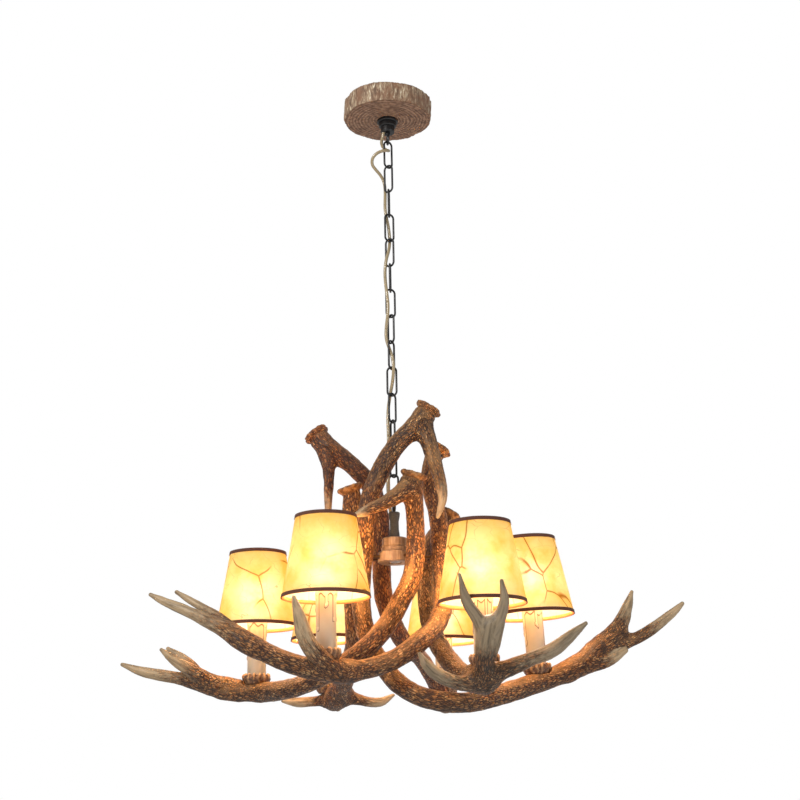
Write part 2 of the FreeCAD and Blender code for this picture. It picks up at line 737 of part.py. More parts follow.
def square_bar(start, end, thick):
    along = (end - start).normalize()
    across = Vector(0, 0, 1).cross(along).normalize() * (thick / 2)
    up = along.cross(across)
    corners = [start + across + up, start + across - up, start - across - up,
               start - across + up]
    return Part.Face(Part.makePolygon(corners + corners[:1])).extrude(end - start)


# ---------------------------------------------------------------- export
def main():
    os.makedirs("parts", exist_ok=True)
    save("mounting_bracket", mounting_bracket())
    save("mounting_tube", mounting_tube())
    save("bracket_nuts", bracket_nuts())
    save("canopy", canopy())
    save("canopy_collar", canopy_collar())
    save("canopy_eye", canopy_eye())
    for number in range(1, link_count + 1):
        save("chain_link_%02d" % number, chain_link(number))
    save("supply_cord", cord())
    save("hub_eye", hub_eye())
    save("hub_neck", hub_neck())
    save("hub_body", hub_body())
    save("hub_tube_and_nut", hub_tube())
    save("hub_studs", hub_studs())
    one_cup, one_sleeve = cup(), candle_sleeve()
    one_cover, one_frame = shade_cover(), shade_frame()
    for name in lights:
        save("antler_" + name, antler(name))
        save("cup_" + name, placed(name, one_cup))
        save("candle_" + name, placed(name, one_sleeve))
        save("shade_" + name, placed(name, one_cover))
        save("shade_frame_" + name, placed(name, one_frame))
    for group, piece in (("lamp_tubes", lamp_tube()), ("lamp_sockets", lamp_socket()),
                         ("bulbs", bulb())):
        save(group, Part.makeCompound([placed(name, piece) for name in lights]))
    print("hub underside", round(hub_base, 2), "cup tops", round(cup_top, 2))


main()
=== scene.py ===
"""Antler chandelier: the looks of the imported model, in metres, in the frame of the CAD.

Named lengths are in millimetres where they are multiplied by MM.
"""
import json
import math
import bpy
import bmesh
import numpy as np
from mathutils import Vector, Matrix, noise


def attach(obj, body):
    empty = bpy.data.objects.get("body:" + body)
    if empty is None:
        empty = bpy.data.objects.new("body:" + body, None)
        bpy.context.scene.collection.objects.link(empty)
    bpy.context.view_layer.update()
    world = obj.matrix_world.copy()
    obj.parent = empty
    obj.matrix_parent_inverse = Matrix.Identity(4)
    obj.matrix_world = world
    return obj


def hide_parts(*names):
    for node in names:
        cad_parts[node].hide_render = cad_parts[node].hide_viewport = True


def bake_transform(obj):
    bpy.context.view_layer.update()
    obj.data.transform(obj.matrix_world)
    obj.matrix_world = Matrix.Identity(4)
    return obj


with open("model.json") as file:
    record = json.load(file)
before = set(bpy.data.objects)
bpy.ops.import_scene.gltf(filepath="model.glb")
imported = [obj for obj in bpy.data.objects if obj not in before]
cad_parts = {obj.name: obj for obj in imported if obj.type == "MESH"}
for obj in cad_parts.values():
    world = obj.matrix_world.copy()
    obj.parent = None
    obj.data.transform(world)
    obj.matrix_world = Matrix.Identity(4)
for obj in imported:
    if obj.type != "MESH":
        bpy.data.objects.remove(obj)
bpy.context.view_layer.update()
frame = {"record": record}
MM = 0.001
BODIES = {node: body for body, nodes in frame["record"]["behaviour"]["bodies"].items()
          for node in nodes}


# ---- helpers
def link_to_scene(obj):
    bpy.context.scene.collection.objects.link(obj)
    return obj


def smooth(mesh, material):
    """One material all over and smooth shading."""
    mesh.materials.clear()
    mesh.materials.append(material)
    for face in mesh.polygons:
        face.use_smooth = True


def piece(name, mesh, node, material):
    """A new object that stands for a CAD node and rides on its body."""
    obj = link_to_scene(bpy.data.objects.new(name, mesh))
    smooth(mesh, material)
    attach(obj, BODIES[node])
    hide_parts(node)


def grid_mesh(name, rows, closed=False):
    """A mesh over rings of points. Closed joins the last ring to the first; otherwise the two
    ends are capped."""
    count = len(rows[0])
    verts = [p for row in rows for p in row]
    faces = []
    for i in range(len(rows) if closed else len(rows) - 1):
        n = (i + 1) % len(rows)
        for j in range(count):
            k = (j + 1) % count
            faces.append((i * count + j, i * count + k, n * count + k, n * count + j))
    if not closed:
        faces.append(tuple(reversed(range(count))))
        faces.append(tuple(range((len(rows) - 1) * count, len(rows) * count)))
    mesh = bpy.data.meshes.new(name)
    mesh.from_pydata(verts, [], faces)
    mesh.validate()
    return mesh


def joined(meshes, name):
    """The meshes as one, with every face turned outwards."""
    bm = bmesh.new()
    for mesh in meshes:
        bm.from_mesh(mesh)
        bpy.data.meshes.remove(mesh)
    bmesh.ops.recalc_face_normals(bm, faces=bm.faces)
    out = bpy.data.meshes.new(name)
    bm.to_mesh(out)
    bm.free()
    return out


def level_ring(angles, radii, z):
    """A ring about the Z axis from radii and a height in millimetres."""
    return [Vector((r * math.cos(a), r * math.sin(a), z)) * MM for a, r in zip(angles, radii)]


def tube_wall(name, rows):
    """Rings joined one to the next and the last to the first, with every face turned outwards."""
    return joined([grid_mesh(name + "_rings", rows, closed=True)], name)


def framed(line):
    """Each point of a line with its direction and two axes across it, carried without a twist."""
    across = None
    for i, centre in enumerate(line):
        along = (line[min(i + 1, len(line) - 1)] - line[max(i - 1, 0)]).normalized()
        if across is None:
            across = along.orthogonal().normalized()
        across = (across - along * across.dot(along)).normalized()
        yield centre, along, across, along.cross(across)


def circle(centre, across, up, radius, sides):
    """A ring of points round a centre."""
    return [centre + (across * math.cos(a) + up * math.sin(a)) * radius
            for a in (2 * math.pi * k / sides for k in range(sides))]


def noise_rows(points, scale, octaves=3, seed=(0, 0, 0)):
    """Fractal noise in about -1 to 1 at each point."""
    out = np.zeros(len(points))
    shift = Vector(seed)
    for i, point in enumerate(points):
        total, amplitude, where = 0.0, 1.0, Vector(point) * scale + shift
        for _ in range(octaves):
            total += amplitude * noise.noise(where)
            amplitude *= 0.5
            where = where * 2.03
        out[i] = total
    return out


def copied_mesh(node, name):
    mesh = bpy.data.objects[node].data.copy()
    mesh.name = name
    return mesh


def remeshed(mesh, voxel):
    """The mesh rebuilt from voxels, with its creases softened once."""
    obj = link_to_scene(bpy.data.objects.new("remesh", mesh))
    modifier = obj.modifiers.new("voxels", "REMESH")
    modifier.mode = "VOXEL"
    modifier.voxel_size = voxel
    modifier.use_smooth_shade = True
    modifier = obj.modifiers.new("smooth", "SMOOTH")
    modifier.factor = 0.5
    modifier.iterations = 1
    bpy.context.view_layer.update()
    graph = bpy.context.evaluated_depsgraph_get()
    result = bpy.data.meshes.new_from_object(obj.evaluated_get(graph))
    bpy.data.objects.remove(obj)
    return result


def coordinates(mesh, name="co"):
    out = np.empty(len(mesh.vertices) * 3)
    mesh.vertices.foreach_get(name, out)
    return out.reshape(-1, 3)


def surface(mesh):
    """The mesh's vertices and their normals."""
    return coordinates(mesh), coordinates(mesh, "normal")


def set_coordinates(mesh, values):
    mesh.vertices.foreach_set("co", values.ravel())
    mesh.update()


def store(mesh, **attributes):
    """A number or a vector at each vertex, for the materials to read."""
    for name, values in attributes.items():
        values = np.asarray(values, dtype=np.float32)
        kind, key = ("FLOAT", "value") if values.ndim == 1 else ("FLOAT_VECTOR", "vector")
        mesh.attributes.new(name, kind, "POINT").data.foreach_set(key, values.ravel())


def carried(matrix, points):
    """The points as the matrix places them."""
    matrix = np.array(matrix)
    return points @ matrix[:3, :3].T + matrix[:3, 3]


# ---- material nodes
class Nodes:
    """A small builder for a node material."""

    def __init__(self, name):
        self.material = bpy.data.materials.new(name)
        self.material.use_nodes = True
        self.tree = self.material.node_tree
        self.tree.nodes.clear()
        self.output = self.tree.nodes.new("ShaderNodeOutputMaterial")

    def put(self, value, socket):
        if isinstance(value, bpy.types.NodeSocket):
            self.tree.links.new(value, socket)
        else:
            socket.default_value = value

    def add(self, kind, inputs=None, **settings):
        node = self.tree.nodes.new(kind)
        for key, value in settings.items():
            setattr(node, key, value)
        for key, value in (inputs or {}).items():
            self.put(value, node.inputs[key])
        return node

    def attribute(self, name, output="Fac"):
        return self.add("ShaderNodeAttribute", attribute_name=name).outputs[output]

    def place(self, vector=None, scale=(1, 1, 1)):
        """A vector, or else the place on the object, drawn out by a scale."""
        source = vector or self.add("ShaderNodeTexCoord").outputs["Object"]
        return self.add("ShaderNodeMapping", {"Vector": source, "Scale": scale}).outputs[0]

    def noise(self, vector, scale, detail=4.0, rough=0.55, distortion=0.0):
        return self.add("ShaderNodeTexNoise", {
            "Vector": vector, "Scale": scale, "Detail": detail, "Roughness": rough,
            "Distortion": distortion}).outputs["Fac"]

    def cell_edges(self, vector, scale):
        """The distance to the nearest edge between cells."""
        node = self.add("ShaderNodeTexVoronoi", {"Vector": vector, "Scale": scale},
                        feature="DISTANCE_TO_EDGE")
        return node.outputs["Distance"]

    def ramp(self, value, stops, interpolation="LINEAR"):
        node = self.add("ShaderNodeValToRGB", {"Fac": value})
        node.color_ramp.interpolation = interpolation
        while len(node.color_ramp.elements) > 1:
            node.color_ramp.elements.remove(node.color_ramp.elements[-1])
        for i, (place, colour) in enumerate(stops):
            if not isinstance(colour, (tuple, list)):
                colour = (colour, colour, colour)
            element = node.color_ramp.elements[0] if i == 0 else \
                node.color_ramp.elements.new(place)
            element.position = place
            element.color = (*colour[:3], 1.0)
        return node.outputs["Color"]

    def mix(self, share, first, second):
        """Share 0 gives the first colour and 1 the second."""
        node = self.tree.nodes.new("ShaderNodeMix")
        node.data_type = "RGBA"
        self.put(share, node.inputs[0])
        for index, colour in ((6, first), (7, second)):
            if not isinstance(colour, bpy.types.NodeSocket):
                colour = (*colour[:3], 1.0)
            self.put(colour, node.inputs[index])
        return node.outputs[2]

    def math(self, operation, first, second=0.5, clamp=False):
        node = self.add("ShaderNodeMath", operation=operation, use_clamp=clamp)
        self.put(first, node.inputs[0])
        self.put(second, node.inputs[1])
        return node.outputs[0]

    def plus(self, first, second, clamp=False):
        return self.math("ADD", first, second, clamp)

    def times(self, first, second):
        return self.math("MULTIPLY", first, second)

    def bump(self, height, distance, strength=1.0):
        return self.add("ShaderNodeBump", {"Height": height, "Distance": distance,
                                           "Strength": strength}).outputs[0]

    def mixed_shader(self, share, first, second):
        return self.add("ShaderNodeMixShader", {0: share, 1: first.outputs[0],
                                                2: second.outputs[0]})

    def finish(self, **inputs):
        shader = self.add("ShaderNodeBsdfPrincipled",
                          {key.replace("_", " "): value for key, value in inputs.items()})
        self.tree.links.new(shader.outputs[0], self.output.inputs[0])
        return self.material


def dress(node, material):
    """A material on a CAD node that keeps its shape."""
    mesh = bpy.data.objects[node].data
    mesh.materials.clear()
    mesh.materials.append(material)


# ---- materials
def shaken(n, vector, scale, reach):
    """The vector moved about by noise."""
    wander = n.add("ShaderNodeTexNoise", {"Vector": vector, "Scale": scale, "Detail": 2.0})
    moved = n.add("ShaderNodeVectorMath", {0: wander.outputs["Color"], 1: (reach,) * 3},
                  operation="MULTIPLY")
    return n.add("ShaderNodeVectorMath", {0: vector, 1: moved.outputs[0]},
                 operation="ADD").outputs[0]


def antler_material(name, dark, mid, pale, tip, tip_start):
    """Pearled brown beams, rubbed streaks and smooth pale tips along the grain, upper sides painted
    paler.
    """
    n = Nodes(name)
    grain = n.attribute("grain", "Vector")
    tipness = n.attribute("tipness")
    flute = n.attribute("flute")
    worn = n.attribute("worn")
    along = shaken(n, n.place(grain, (1, 1, 0.34)), 260, 0.0030)
    edge = n.cell_edges(along, 360)
    bead = n.ramp(edge, [(0.04, 0.0), (0.30, 1.0)])
    patch = n.noise(n.place(grain, (1, 1, 0.35)), 230, 4, 0.65)
    shell = n.mix(bead, dark, n.ramp(patch, [(0.36, mid), (0.52, mid), (0.70, pale)]))
    shell = n.mix(n.ramp(flute, [(0.22, 0.85), (0.52, 0.0)]), shell, dark)
    streak = n.noise(n.place(grain, (1, 1, 0.10)), 70, 3)
    # paler rubbed share: streaks and lumps for wear, plus upward-facing sides as painted light from
    # above
    rub = n.ramp(n.plus(n.times(streak, 0.7), n.times(worn, 0.3)), [(0.52, 0.0), (0.68, 0.42)])
    between = [0.62 * a + 0.38 * b for a, b in zip(mid, pale)]
    shell = n.mix(rub, shell, between)
    strands = n.noise(n.place(grain, (1, 1, 0.06)), 260, 4)
    horn = n.ramp(strands, [(0.30, [c * 0.42 for c in tip]), (0.50, tip),
                            (0.75, [min(1, c * 1.3) for c in tip])])
    out = n.plus(tipness, n.times(n.math("SUBTRACT", patch, 0.5), 0.8))
    share = n.ramp(out, [(tip_start, 0.0), (tip_start + 0.34, 0.93)])
    colour = n.mix(share, shell, horn)
    burr = n.attribute("burr")
    knob = n.attribute("knob")
    rim = n.ramp(knob, [(0.35, [c * 0.5 for c in mid]), (0.55, mid), (0.85, between)])
    colour = n.mix(n.times(burr, 0.7), colour, rim)
    height = n.plus(n.times(bead, 0.8), n.times(patch, 0.6))
    depth = n.times(height, n.math("SUBTRACT", 1.0, n.times(share, 0.9)))
    normal = n.bump(n.plus(depth, n.times(strands, 0.16)), 0.0014, 0.9)
    rough = n.ramp(patch, [(0.3, 0.56), (0.7, 0.38)])
    return n.finish(Base_Color=colour, Roughness=rough, Normal=normal, Specular_IOR_Level=0.35)


def burr_material():
    """A dark burr with golden crests, a painted highlight strongest on the top side."""
    n = Nodes("burr_resin_look")
    fine = n.noise(n.place(), 340, 4)
    crest = n.attribute("crest")
    colour = n.ramp(fine, [(0.3, (0.022, 0.009, 0.004)), (0.5, (0.085, 0.036, 0.015)),
                           (0.72, (0.21, 0.10, 0.045))])
    colour = n.mix(n.ramp(crest, [(0.50, 0.0), (0.92, 0.85)]), colour, (0.52, 0.29, 0.12))
    return n.finish(Base_Color=colour, Roughness=0.5, Normal=n.bump(fine, 0.0016, 0.8))


def bark_material():
    """Bark on the side and a sawn face with growth rings underneath."""
    n = Nodes("bark_resin_look")
    place = n.place()
    side = n.attribute("side")
    radius = n.attribute("reach")
    strands = n.noise(n.place(None, (1, 1, 0.25)), 230, 5, 0.65, 0.8)
    blotch = n.noise(place, 45, 3)
    bark = n.ramp(strands, [(0.30, (0.055, 0.030, 0.017)), (0.47, (0.17, 0.10, 0.058)),
                            (0.58, (0.33, 0.245, 0.155)), (0.68, (0.62, 0.56, 0.44))])
    bark = n.mix(n.ramp(blotch, [(0.38, 0.75), (0.56, 0.0)]), bark, (0.17, 0.078, 0.038))
    wobble = n.plus(n.times(radius, 500.0), n.times(n.noise(place, 28, 3), 5.0))
    rings = n.math("SINE", n.times(wobble, 2.2), 0.0)
    sawn = n.ramp(n.plus(n.times(rings, 0.11), n.noise(place, 160, 4)),
                  [(0.25, (0.065, 0.030, 0.016)), (0.5, (0.175, 0.092, 0.052)),
                   (0.8, (0.34, 0.21, 0.135))])
    colour = n.mix(side, sawn, bark)
    normal = n.bump(n.mix(side, n.times(rings, 0.3), strands), 0.0018, 0.7)
    return n.finish(Base_Color=colour, Roughness=0.72, Normal=normal)


def wood_material():
    """Turned and stained wood with fine lathe lines."""
    n = Nodes("brown_wood_look")
    grain = n.noise(n.place(None, (1, 1, 0.12)), 240, 5, 0.6)
    height = n.add("ShaderNodeSeparateXYZ", {"Vector": n.place()}).outputs[2]
    turned = n.math("SINE", n.times(height, 5200.0), 0.0)
    colour = n.ramp(grain, [(0.3, (0.055, 0.030, 0.020)), (0.5, (0.17, 0.110, 0.078)),
                            (0.75, (0.32, 0.235, 0.180))])
    return n.finish(Base_Color=colour, Roughness=0.42,
                    Normal=n.bump(n.plus(n.times(turned, 0.35), grain), 0.0005, 0.7))


def candle_material():
    """Waxy resin with a dark line round each run."""
    n = Nodes("candle_resin_look")
    drip = n.attribute("drip")
    mottle = n.noise(n.place(), 60, 3)
    base = n.mix(mottle, (0.320, 0.278, 0.225), (0.27, 0.232, 0.180))
    colour = n.mix(n.ramp(drip, [(0.35, 0.0), (0.9, 0.6)]), base, (0.46, 0.39, 0.31))
    colour = n.mix(n.ramp(drip, [(0.0, 0.0), (0.07, 0.95), (0.38, 0.90), (0.52, 0.0)]), colour,
                   (0.075, 0.026, 0.011))
    return n.finish(Base_Color=colour, Roughness=0.36, Subsurface_Weight=0.12,
                    Subsurface_Radius=(0.004, 0.002, 0.001), Subsurface_Scale=1.0,
                    Normal=n.bump(mottle, 0.0006, 0.4))


def parchment_material():
    """Lit parchment: veins and creases, brightest round the bulb."""
    n = Nodes("parchment_look")
    height = n.attribute("height")
    sheet = n.attribute("paper", "Vector")
    cloud = n.noise(sheet, 22, 4, 0.6)
    patches = n.noise(n.place(sheet, (1, 1, 0.6)), 13, 2)
    warped = shaken(n, n.place(sheet, (1, 1, 0.7)), 11, 0.035)
    veins = n.cell_edges(warped, 15)
    fine = n.cell_edges(shaken(n, n.place(sheet, (1, 1, 1.5)), 40, 0.02), 30)
    main = n.times(n.ramp(veins, [(0.0, 1.0), (0.007, 0.7), (0.020, 0.0)]),
                   n.ramp(patches, [(0.44, 0.0), (0.52, 1.0)]))
    hair = n.times(n.ramp(fine, [(0.0, 0.7), (0.014, 0.0)]),
                   n.ramp(cloud, [(0.48, 0.0), (0.6, 0.8)]))
    vein = n.plus(main, hair, True)
    stain = n.ramp(cloud, [(0.36, 0.9), (0.60, 0.0)])
    inner = n.attribute("inner")
    crease = n.times(vein, 0.9)
    paper = n.mix(crease, n.mix(stain, (1.0, 0.96, 0.88), (0.98, 0.80, 0.45)),
                  (0.45, 0.17, 0.04))
    face = n.mix(crease, n.mix(stain, (0.50, 0.36, 0.08), (0.46, 0.28, 0.04)),
                 (0.20, 0.065, 0.012))
    # the inner face is painted paler: painted light of the bulb falling on it
    face = n.mix(inner, face, (0.86, 0.72, 0.50))
    glow = n.ramp(height, [(0.0, (0.44, 0.18, 0.008)), (0.16, (0.50, 0.26, 0.020)),
                           (0.42, (0.60, 0.40, 0.095)), (0.72, (0.54, 0.34, 0.055)),
                           (1.0, (0.36, 0.16, 0.008))], "EASE")
    lit = n.mix(crease, n.mix(stain, glow, (0.44, 0.21, 0.015)), (0.15, 0.04, 0.003))
    diffuse = n.add("ShaderNodeBsdfDiffuse", {"Color": face})
    through = n.add("ShaderNodeBsdfTranslucent", {"Color": paper})
    forward = n.add("ShaderNodeBsdfRefraction", {"Color": paper, "Roughness": 1.0,
                                                 "IOR": 1.42})
    shine = n.add("ShaderNodeEmission", {"Color": lit, "Strength": 0.60})
    sheet = n.mixed_shader(0.33, n.mixed_shader(0.16, diffuse, through), forward)
    whole = n.add("ShaderNodeAddShader", {0: sheet.outputs[0], 1: shine.outputs[0]})
    n.tree.links.new(whole.outputs[0], n.output.inputs[0])
    return n.material


def trim_material():
    """Brown tape; light shines through its inner fold."""
    n = Nodes("trim_look")
    weave = n.add("ShaderNodeTexWave", {"Vector": n.place(), "Scale": 380.0,
                                        "Distortion": 1.5, "Detail": 2.0}).outputs["Fac"]
    inside = n.attribute("inside")
    colour = n.ramp(weave, [(0.0, (0.040, 0.010, 0.004)), (1.0, (0.105, 0.028, 0.011))])
    colour = n.mix(inside, colour, (0.55, 0.16, 0.035))
    glow = n.mix(inside, (0, 0, 0), (0.34, 0.085, 0.012))
    return n.finish(Base_Color=colour, Roughness=0.75, Normal=n.bump(weave, 0.0004, 0.6),
                    Emission_Color=glow, Emission_Strength=1.0)


def bulb_material():
    """A lit candle bulb."""
    n = Nodes("bulb_glass_look")
    shine = n.add("ShaderNodeEmission", {"Color": (1.0, 0.84, 0.74, 1), "Strength": 36.0})
    n.tree.links.new(shine.outputs[0], n.output.inputs[0])
    return n.material


def simple(name, colour, rough, metallic=0.0, coat=0.0, scale=300, bump=0.0004, spread=0.25):
    """A plain finish with a little mottling in its colour, gloss and surface."""
    n = Nodes(name)
    mottle = n.noise(n.place(), scale, 4)
    low = [c * (1 - spread) for c in colour]
    high = [min(1, c * (1 + spread)) for c in colour]
    return n.finish(Base_Color=n.mix(mottle, low, high), Metallic=metallic,
                    Roughness=n.ramp(mottle, [(0.3, min(1, rough * 1.15)), (0.7, rough * 0.85)]),
                    Coat_Weight=coat, Normal=n.bump(mottle, bump, 0.5))


BLACK = simple("black_metal_look", (0.008, 0.008, 0.009), 0.42, 0.3, 0.1)
GREY = simple("dark_grey_metal_look", (0.048, 0.053, 0.062), 0.6, 0.2, 0.0, 500, 0.0006, 0.5)
ZINC = simple("zinc_steel_look", (0.55, 0.55, 0.53), 0.35, 1.0)
WIRE = simple("wire_steel_look", (0.45, 0.38, 0.26), 0.35, 1.0)
SOCKET = simple("socket_plastic_look", (0.80, 0.77, 0.70), 0.5)
BRONZE = simple("bronze_look", (0.10, 0.055, 0.03), 0.45, 0.8)
CORD = simple("cord_pvc_look", (0.26, 0.20, 0.11), 0.3, 0.0, 0.5, 700, 0.0003, 0.3)
WOOD, BURR, BARK = wood_material(), burr_material(), bark_material()
CANDLE, PARCHMENT, TRIM = candle_material(), parchment_material(), trim_material()
BULB_GLASS = bulb_material()
BROWN = antler_material("antler_resin_look", (0.022, 0.008, 0.0035), (0.280, 0.110, 0.030),
                        (0.78, 0.46, 0.19), (0.33, 0.235, 0.135), 0.32)
RED = antler_material("antler_resin_red_look", (0.026, 0.008, 0.0035), (0.270, 0.085, 0.022),
                      (0.66, 0.33, 0.12), (0.36, 0.24, 0.14), 0.40)
WEATHERED = antler_material("antler_resin_grey_look", (0.020, 0.012, 0.007),
                            (0.200, 0.088, 0.032), (0.52, 0.33, 0.16), (0.205, 0.155, 0.095),
                            0.34)

# ---- camera
CAMERA_PLACE = (0.013, -2.230, -1.224)
PITCH, ROLL = math.radians(16.74), math.radians(1.07)
FOCAL_PIXELS, FRAME_PIXELS, SENSOR = 1396.0, 800.0, 36.0
camera_data = bpy.data.cameras.new("camera")
camera_data.sensor_width = SENSOR
camera_data.lens = FOCAL_PIXELS / FRAME_PIXELS * SENSOR
camera = link_to_scene(bpy.data.objects.new("camera", camera_data))
camera.matrix_world = (Matrix.Translation(CAMERA_PLACE)
                       @ Matrix.Rotation(math.pi / 2 + PITCH, 4, "X")
                       @ Matrix.Rotation(-ROLL, 4, "Z"))
bpy.context.scene.camera = camera
bpy.context.scene.view_settings.view_transform = "Standard"

# ---- where the lights stand
HUB_BASE = -827.2            # the hub's underside, which the antlers' heights count from
CUP_TOP = -1000.2            # the lowest cup's top
CUP_HEIGHT = 15.0
# x, y, rise over the lowest cup's top, and lean in degrees
LIGHTS = {
    "front_left": (-102.0, -165.0, 17.0, 0.0),
    "front_right": (130.0, -155.0, 5.0, 0.0),
    "right": (219.0, -20.0, 4.0, 2.5),
    "back_right": (82.0, 263.0, 0.0, 0.0),
    "back_left": (-120.0, 243.0, 4.0, 0.0),
    "left": (-227.0, 57.0, 4.0, 0.0),
}


def light_frame(name):
    """The axes of a light, from the middle of its cup's top."""
    x, y, rise, lean = LIGHTS[name]
    return (Matrix.Translation(Vector((x, y, CUP_TOP + rise)) * MM)
            @ Matrix.Rotation(math.radians(-lean), 4, "Y"))


# ---- supply cord
CORD_ROUTE = [
    (-7.19, -2.62, -59), (-9, -1.5, -68.5), (-12, 4.5, -76), (-8.5, 11, -83), (-0.5, 9.5, -89.5),
    (2, 0.5, -94), (-2, -8.5, -97.5), (-11, -13.5, -101), (-21, -13, -106),
    (-28, -9.5, -113.5), (-28.5, -3.5, -123), (-21.5, 2.5, -130), (-13.5, 8.5, -137.5),
    (-7.5, 11.5, -149), (-6, 9.5, -167), (-6.5, 6, -185), (-7, 4, -204), (-5, 4, -219),
    (-1.5, 4, -237), (0, 5, -254), (0.5, 6.5, -267), (-1.5, 1.5, -284), (-6.5, -2, -302),
    (-9, -1, -323), (-8, -4.5, -346), (-6, -9, -366), (-4, -7.5, -386), (-5, -7.5, -405),
    (-8, -2.5, -424), (-9, -0.5, -444), (-3.5, -0.5, -462), (2, -5, -480), (3.5, -6.5, -501),
    (1.5, -0.5, -520), (-3, 7, -540), (-6.5, 4.5, -562), (-8, 0, -586), (-7, 0, -612),
    (-7.5, 0, -640), (-7, 1, -662), (-9, -3, -684), (-9.5, -3.5, -704), (-8.5, -4, -724),
    (-5.56, -0.98, -745.4)]
CORD_DIAMETER = 5.5
CORD_SIDES = 14
LAST_CUT_RAISED = 6.0        # keeps the last cut clear of the neck


def cord_line():
    """The route's smooth line: a NURBS spline with the route's points as controls."""
    data = bpy.data.curves.new("cord_route", "CURVE")
    data.dimensions = "3D"
    spline = data.splines.new("NURBS")
    spline.points.add(len(CORD_ROUTE) - 1)
    for point, place in zip(spline.points, CORD_ROUTE):
        point.co = (*[v * MM for v in place], 1)
    spline.order_u = 3
    spline.use_endpoint_u = True
    spline.resolution_u = 12
    obj = link_to_scene(bpy.data.objects.new("cord_route", data))
    bpy.context.view_layer.update()
    mesh = bpy.data.meshes.new_from_object(obj)
    line = [Vector(v.co) for v in mesh.vertices]
    bpy.data.objects.remove(obj)
    return line


# ---- chain
CHAIN_ANGLES = [34, 148, 86, 22, 148, 86, 20, 128, 55, 170, 45, 115, 50, 165]
FIRST_TOP = -76.95           # the middle of the first link's upper wire
LINK_PITCH = 46.5            # from one link's top to the next's
LINK_REACH = 50.3            # from a link's upper wire to its lower, middle to middle
LINK_BEND = 7.75             # radius of its ends
LINK_WIRE = 3.5
BEND_STEPS, SIDE_STEPS, SEAM_SIDE_STEPS = 14, 9, 5


def ring_line(top, turn):
    """The middle of a link's wire, as a closed loop."""
    straight = LINK_REACH - 2 * LINK_BEND
    high, low = top - LINK_BEND, top - LINK_BEND - straight
    bend = [math.pi * i / BEND_STEPS for i in range(BEND_STEPS + 1)]
    points = [(LINK_BEND * math.cos(a), high + LINK_BEND * math.sin(a)) for a in bend]
    points += [(-LINK_BEND, high - straight * i / SEAM_SIDE_STEPS)
               for i in range(1, SEAM_SIDE_STEPS)]
    points += [(LINK_BEND * math.cos(math.pi + a), low + LINK_BEND * math.sin(math.pi + a))
               for a in bend]
    points += [(LINK_BEND, low + straight * i / SIDE_STEPS) for i in range(1, SIDE_STEPS)]
    c, s = math.cos(math.radians(turn)), math.sin(math.radians(turn))
    return [Vector((x * c, x * s, z)) * MM for x, z in points]


def closed_wire(name, line, radius, sides=12):
    """A round wire along a flat closed loop."""
    count = len(line)
    normal = (line[1] - line[0]).cross(line[count // 2] - line[0]).normalized()
    rows = []
    for i, centre in enumerate(line):
        along = (line[(i + 1) % count] - line[i - 1]).normalized()
        rows.append(circle(centre, normal, along.cross(normal), radius, sides))
    return grid_mesh(name, rows, closed=True)


def make_chain():
    for number, turn in enumerate(CHAIN_ANGLES, 1):
        line = ring_line(FIRST_TOP - (number - 1) * LINK_PITCH, turn)
        node = "chain_link_%02d" % number
        piece("round_" + node, closed_wire(node + "_mesh", line, LINK_WIRE / 2 * MM), node, BLACK)


def make_cord():
    """The cord in lengths, cut at the middle of each link."""
    line = cord_line()
    rows = [circle(centre, across, up, CORD_DIAMETER / 2 * MM, CORD_SIDES)
            for centre, _, across, up in framed(line)]
    links = range(1, len(CHAIN_ANGLES) + 1)
    cuts = [0]
    for number in links:
        middle = FIRST_TOP - LINK_REACH / 2 - (number - 1) * LINK_PITCH
        if number == links[-1]:
            middle += LAST_CUT_RAISED
        cuts.append(next(i for i, point in enumerate(line) if point.z <= middle * MM))
    cuts.append(len(line) - 1)
    for number, (first, last) in enumerate(zip(cuts, cuts[1:])):
        part = line[first:last + 1]
        name = "cord_%02d" % (number + 1)
        mesh = grid_mesh(name + "_mesh", rows[first:last + 1])
        length = sum((b - a).length for a, b in zip(part, part[1:]))
        obj = link_to_scene(bpy.data.objects.new(name, mesh))
        mesh.materials.append(CORD)
        for face in mesh.polygons:
            face.use_smooth = len(face.vertices) == 4
        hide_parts("supply_cord")
        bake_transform(obj)
        tuple(part[0])
        [tuple(p) for p in part]


# ---- antlers
STEP = 7.0                   # between the samples of a smooth spine
THINNEST = 2.9               # least radius of a tip
ROOT_STEPS = 4               # samples between a tine's root and where it leaves its parent
BLEND = 1.5                  # reach of the web at a fork, in radii of the thinner horn
FAR_AWAY = 1e9
SPINE_APART = 0.7            # keeps the grain of one spine clear of the next's, in metres
# metres: what counts as near the foot, and over what length the rim's share fades
RIM_NEAR, RIM_FADE = 0.030, 0.005
# the times that the surface is pulled onto the field, how far of the way each time, and the
# longest pull in metres
PULLS, PULLED_SHARE, LONGEST_PULL = 3, 0.9, 0.012
WORM_DEPTH, RIDGE_DEPTH, LUMP_DEPTH = 0.62, 0.75, 0.8
# how far round a light's axis and over its cup an antler gives way, and the gap left below
SEAT_RADIUS, SEAT_ABOVE, SEAT_GAP = 23.8, 45.0, 0.2
ANTLER_VOXEL = 1.7
RIM_CARVED, RIM_KEPT = 0.012, 0.014   # how far along the beam the burr reaches, in metres


def smooth_spine(points):
    """A Catmull-Rom line through (x, y, z, radius) points, closely sampled, in metres."""
    given = np.array(points, float) * MM
    padded = np.vstack([2 * given[0] - given[1], given, 2 * given[-1] - given[-2]])
    out = []
    for before, here, there, after in zip(padded, padded[1:], padded[2:], padded[3:]):
        count = max(1, round(np.linalg.norm((there - here)[:3]) / (STEP * MM)))
        for t in np.arange(count) / count:
            out.append(0.5 * (2 * here + (there - before) * t
                              + (2 * before - 5 * here + 4 * there - after) * t * t
                              + (3 * here - before - 3 * there + after) * t ** 3))
    out.append(padded[-2])
    out = np.array(out)
    out[:, 3] = np.maximum(out[:, 3], THINNEST * MM)
    return out


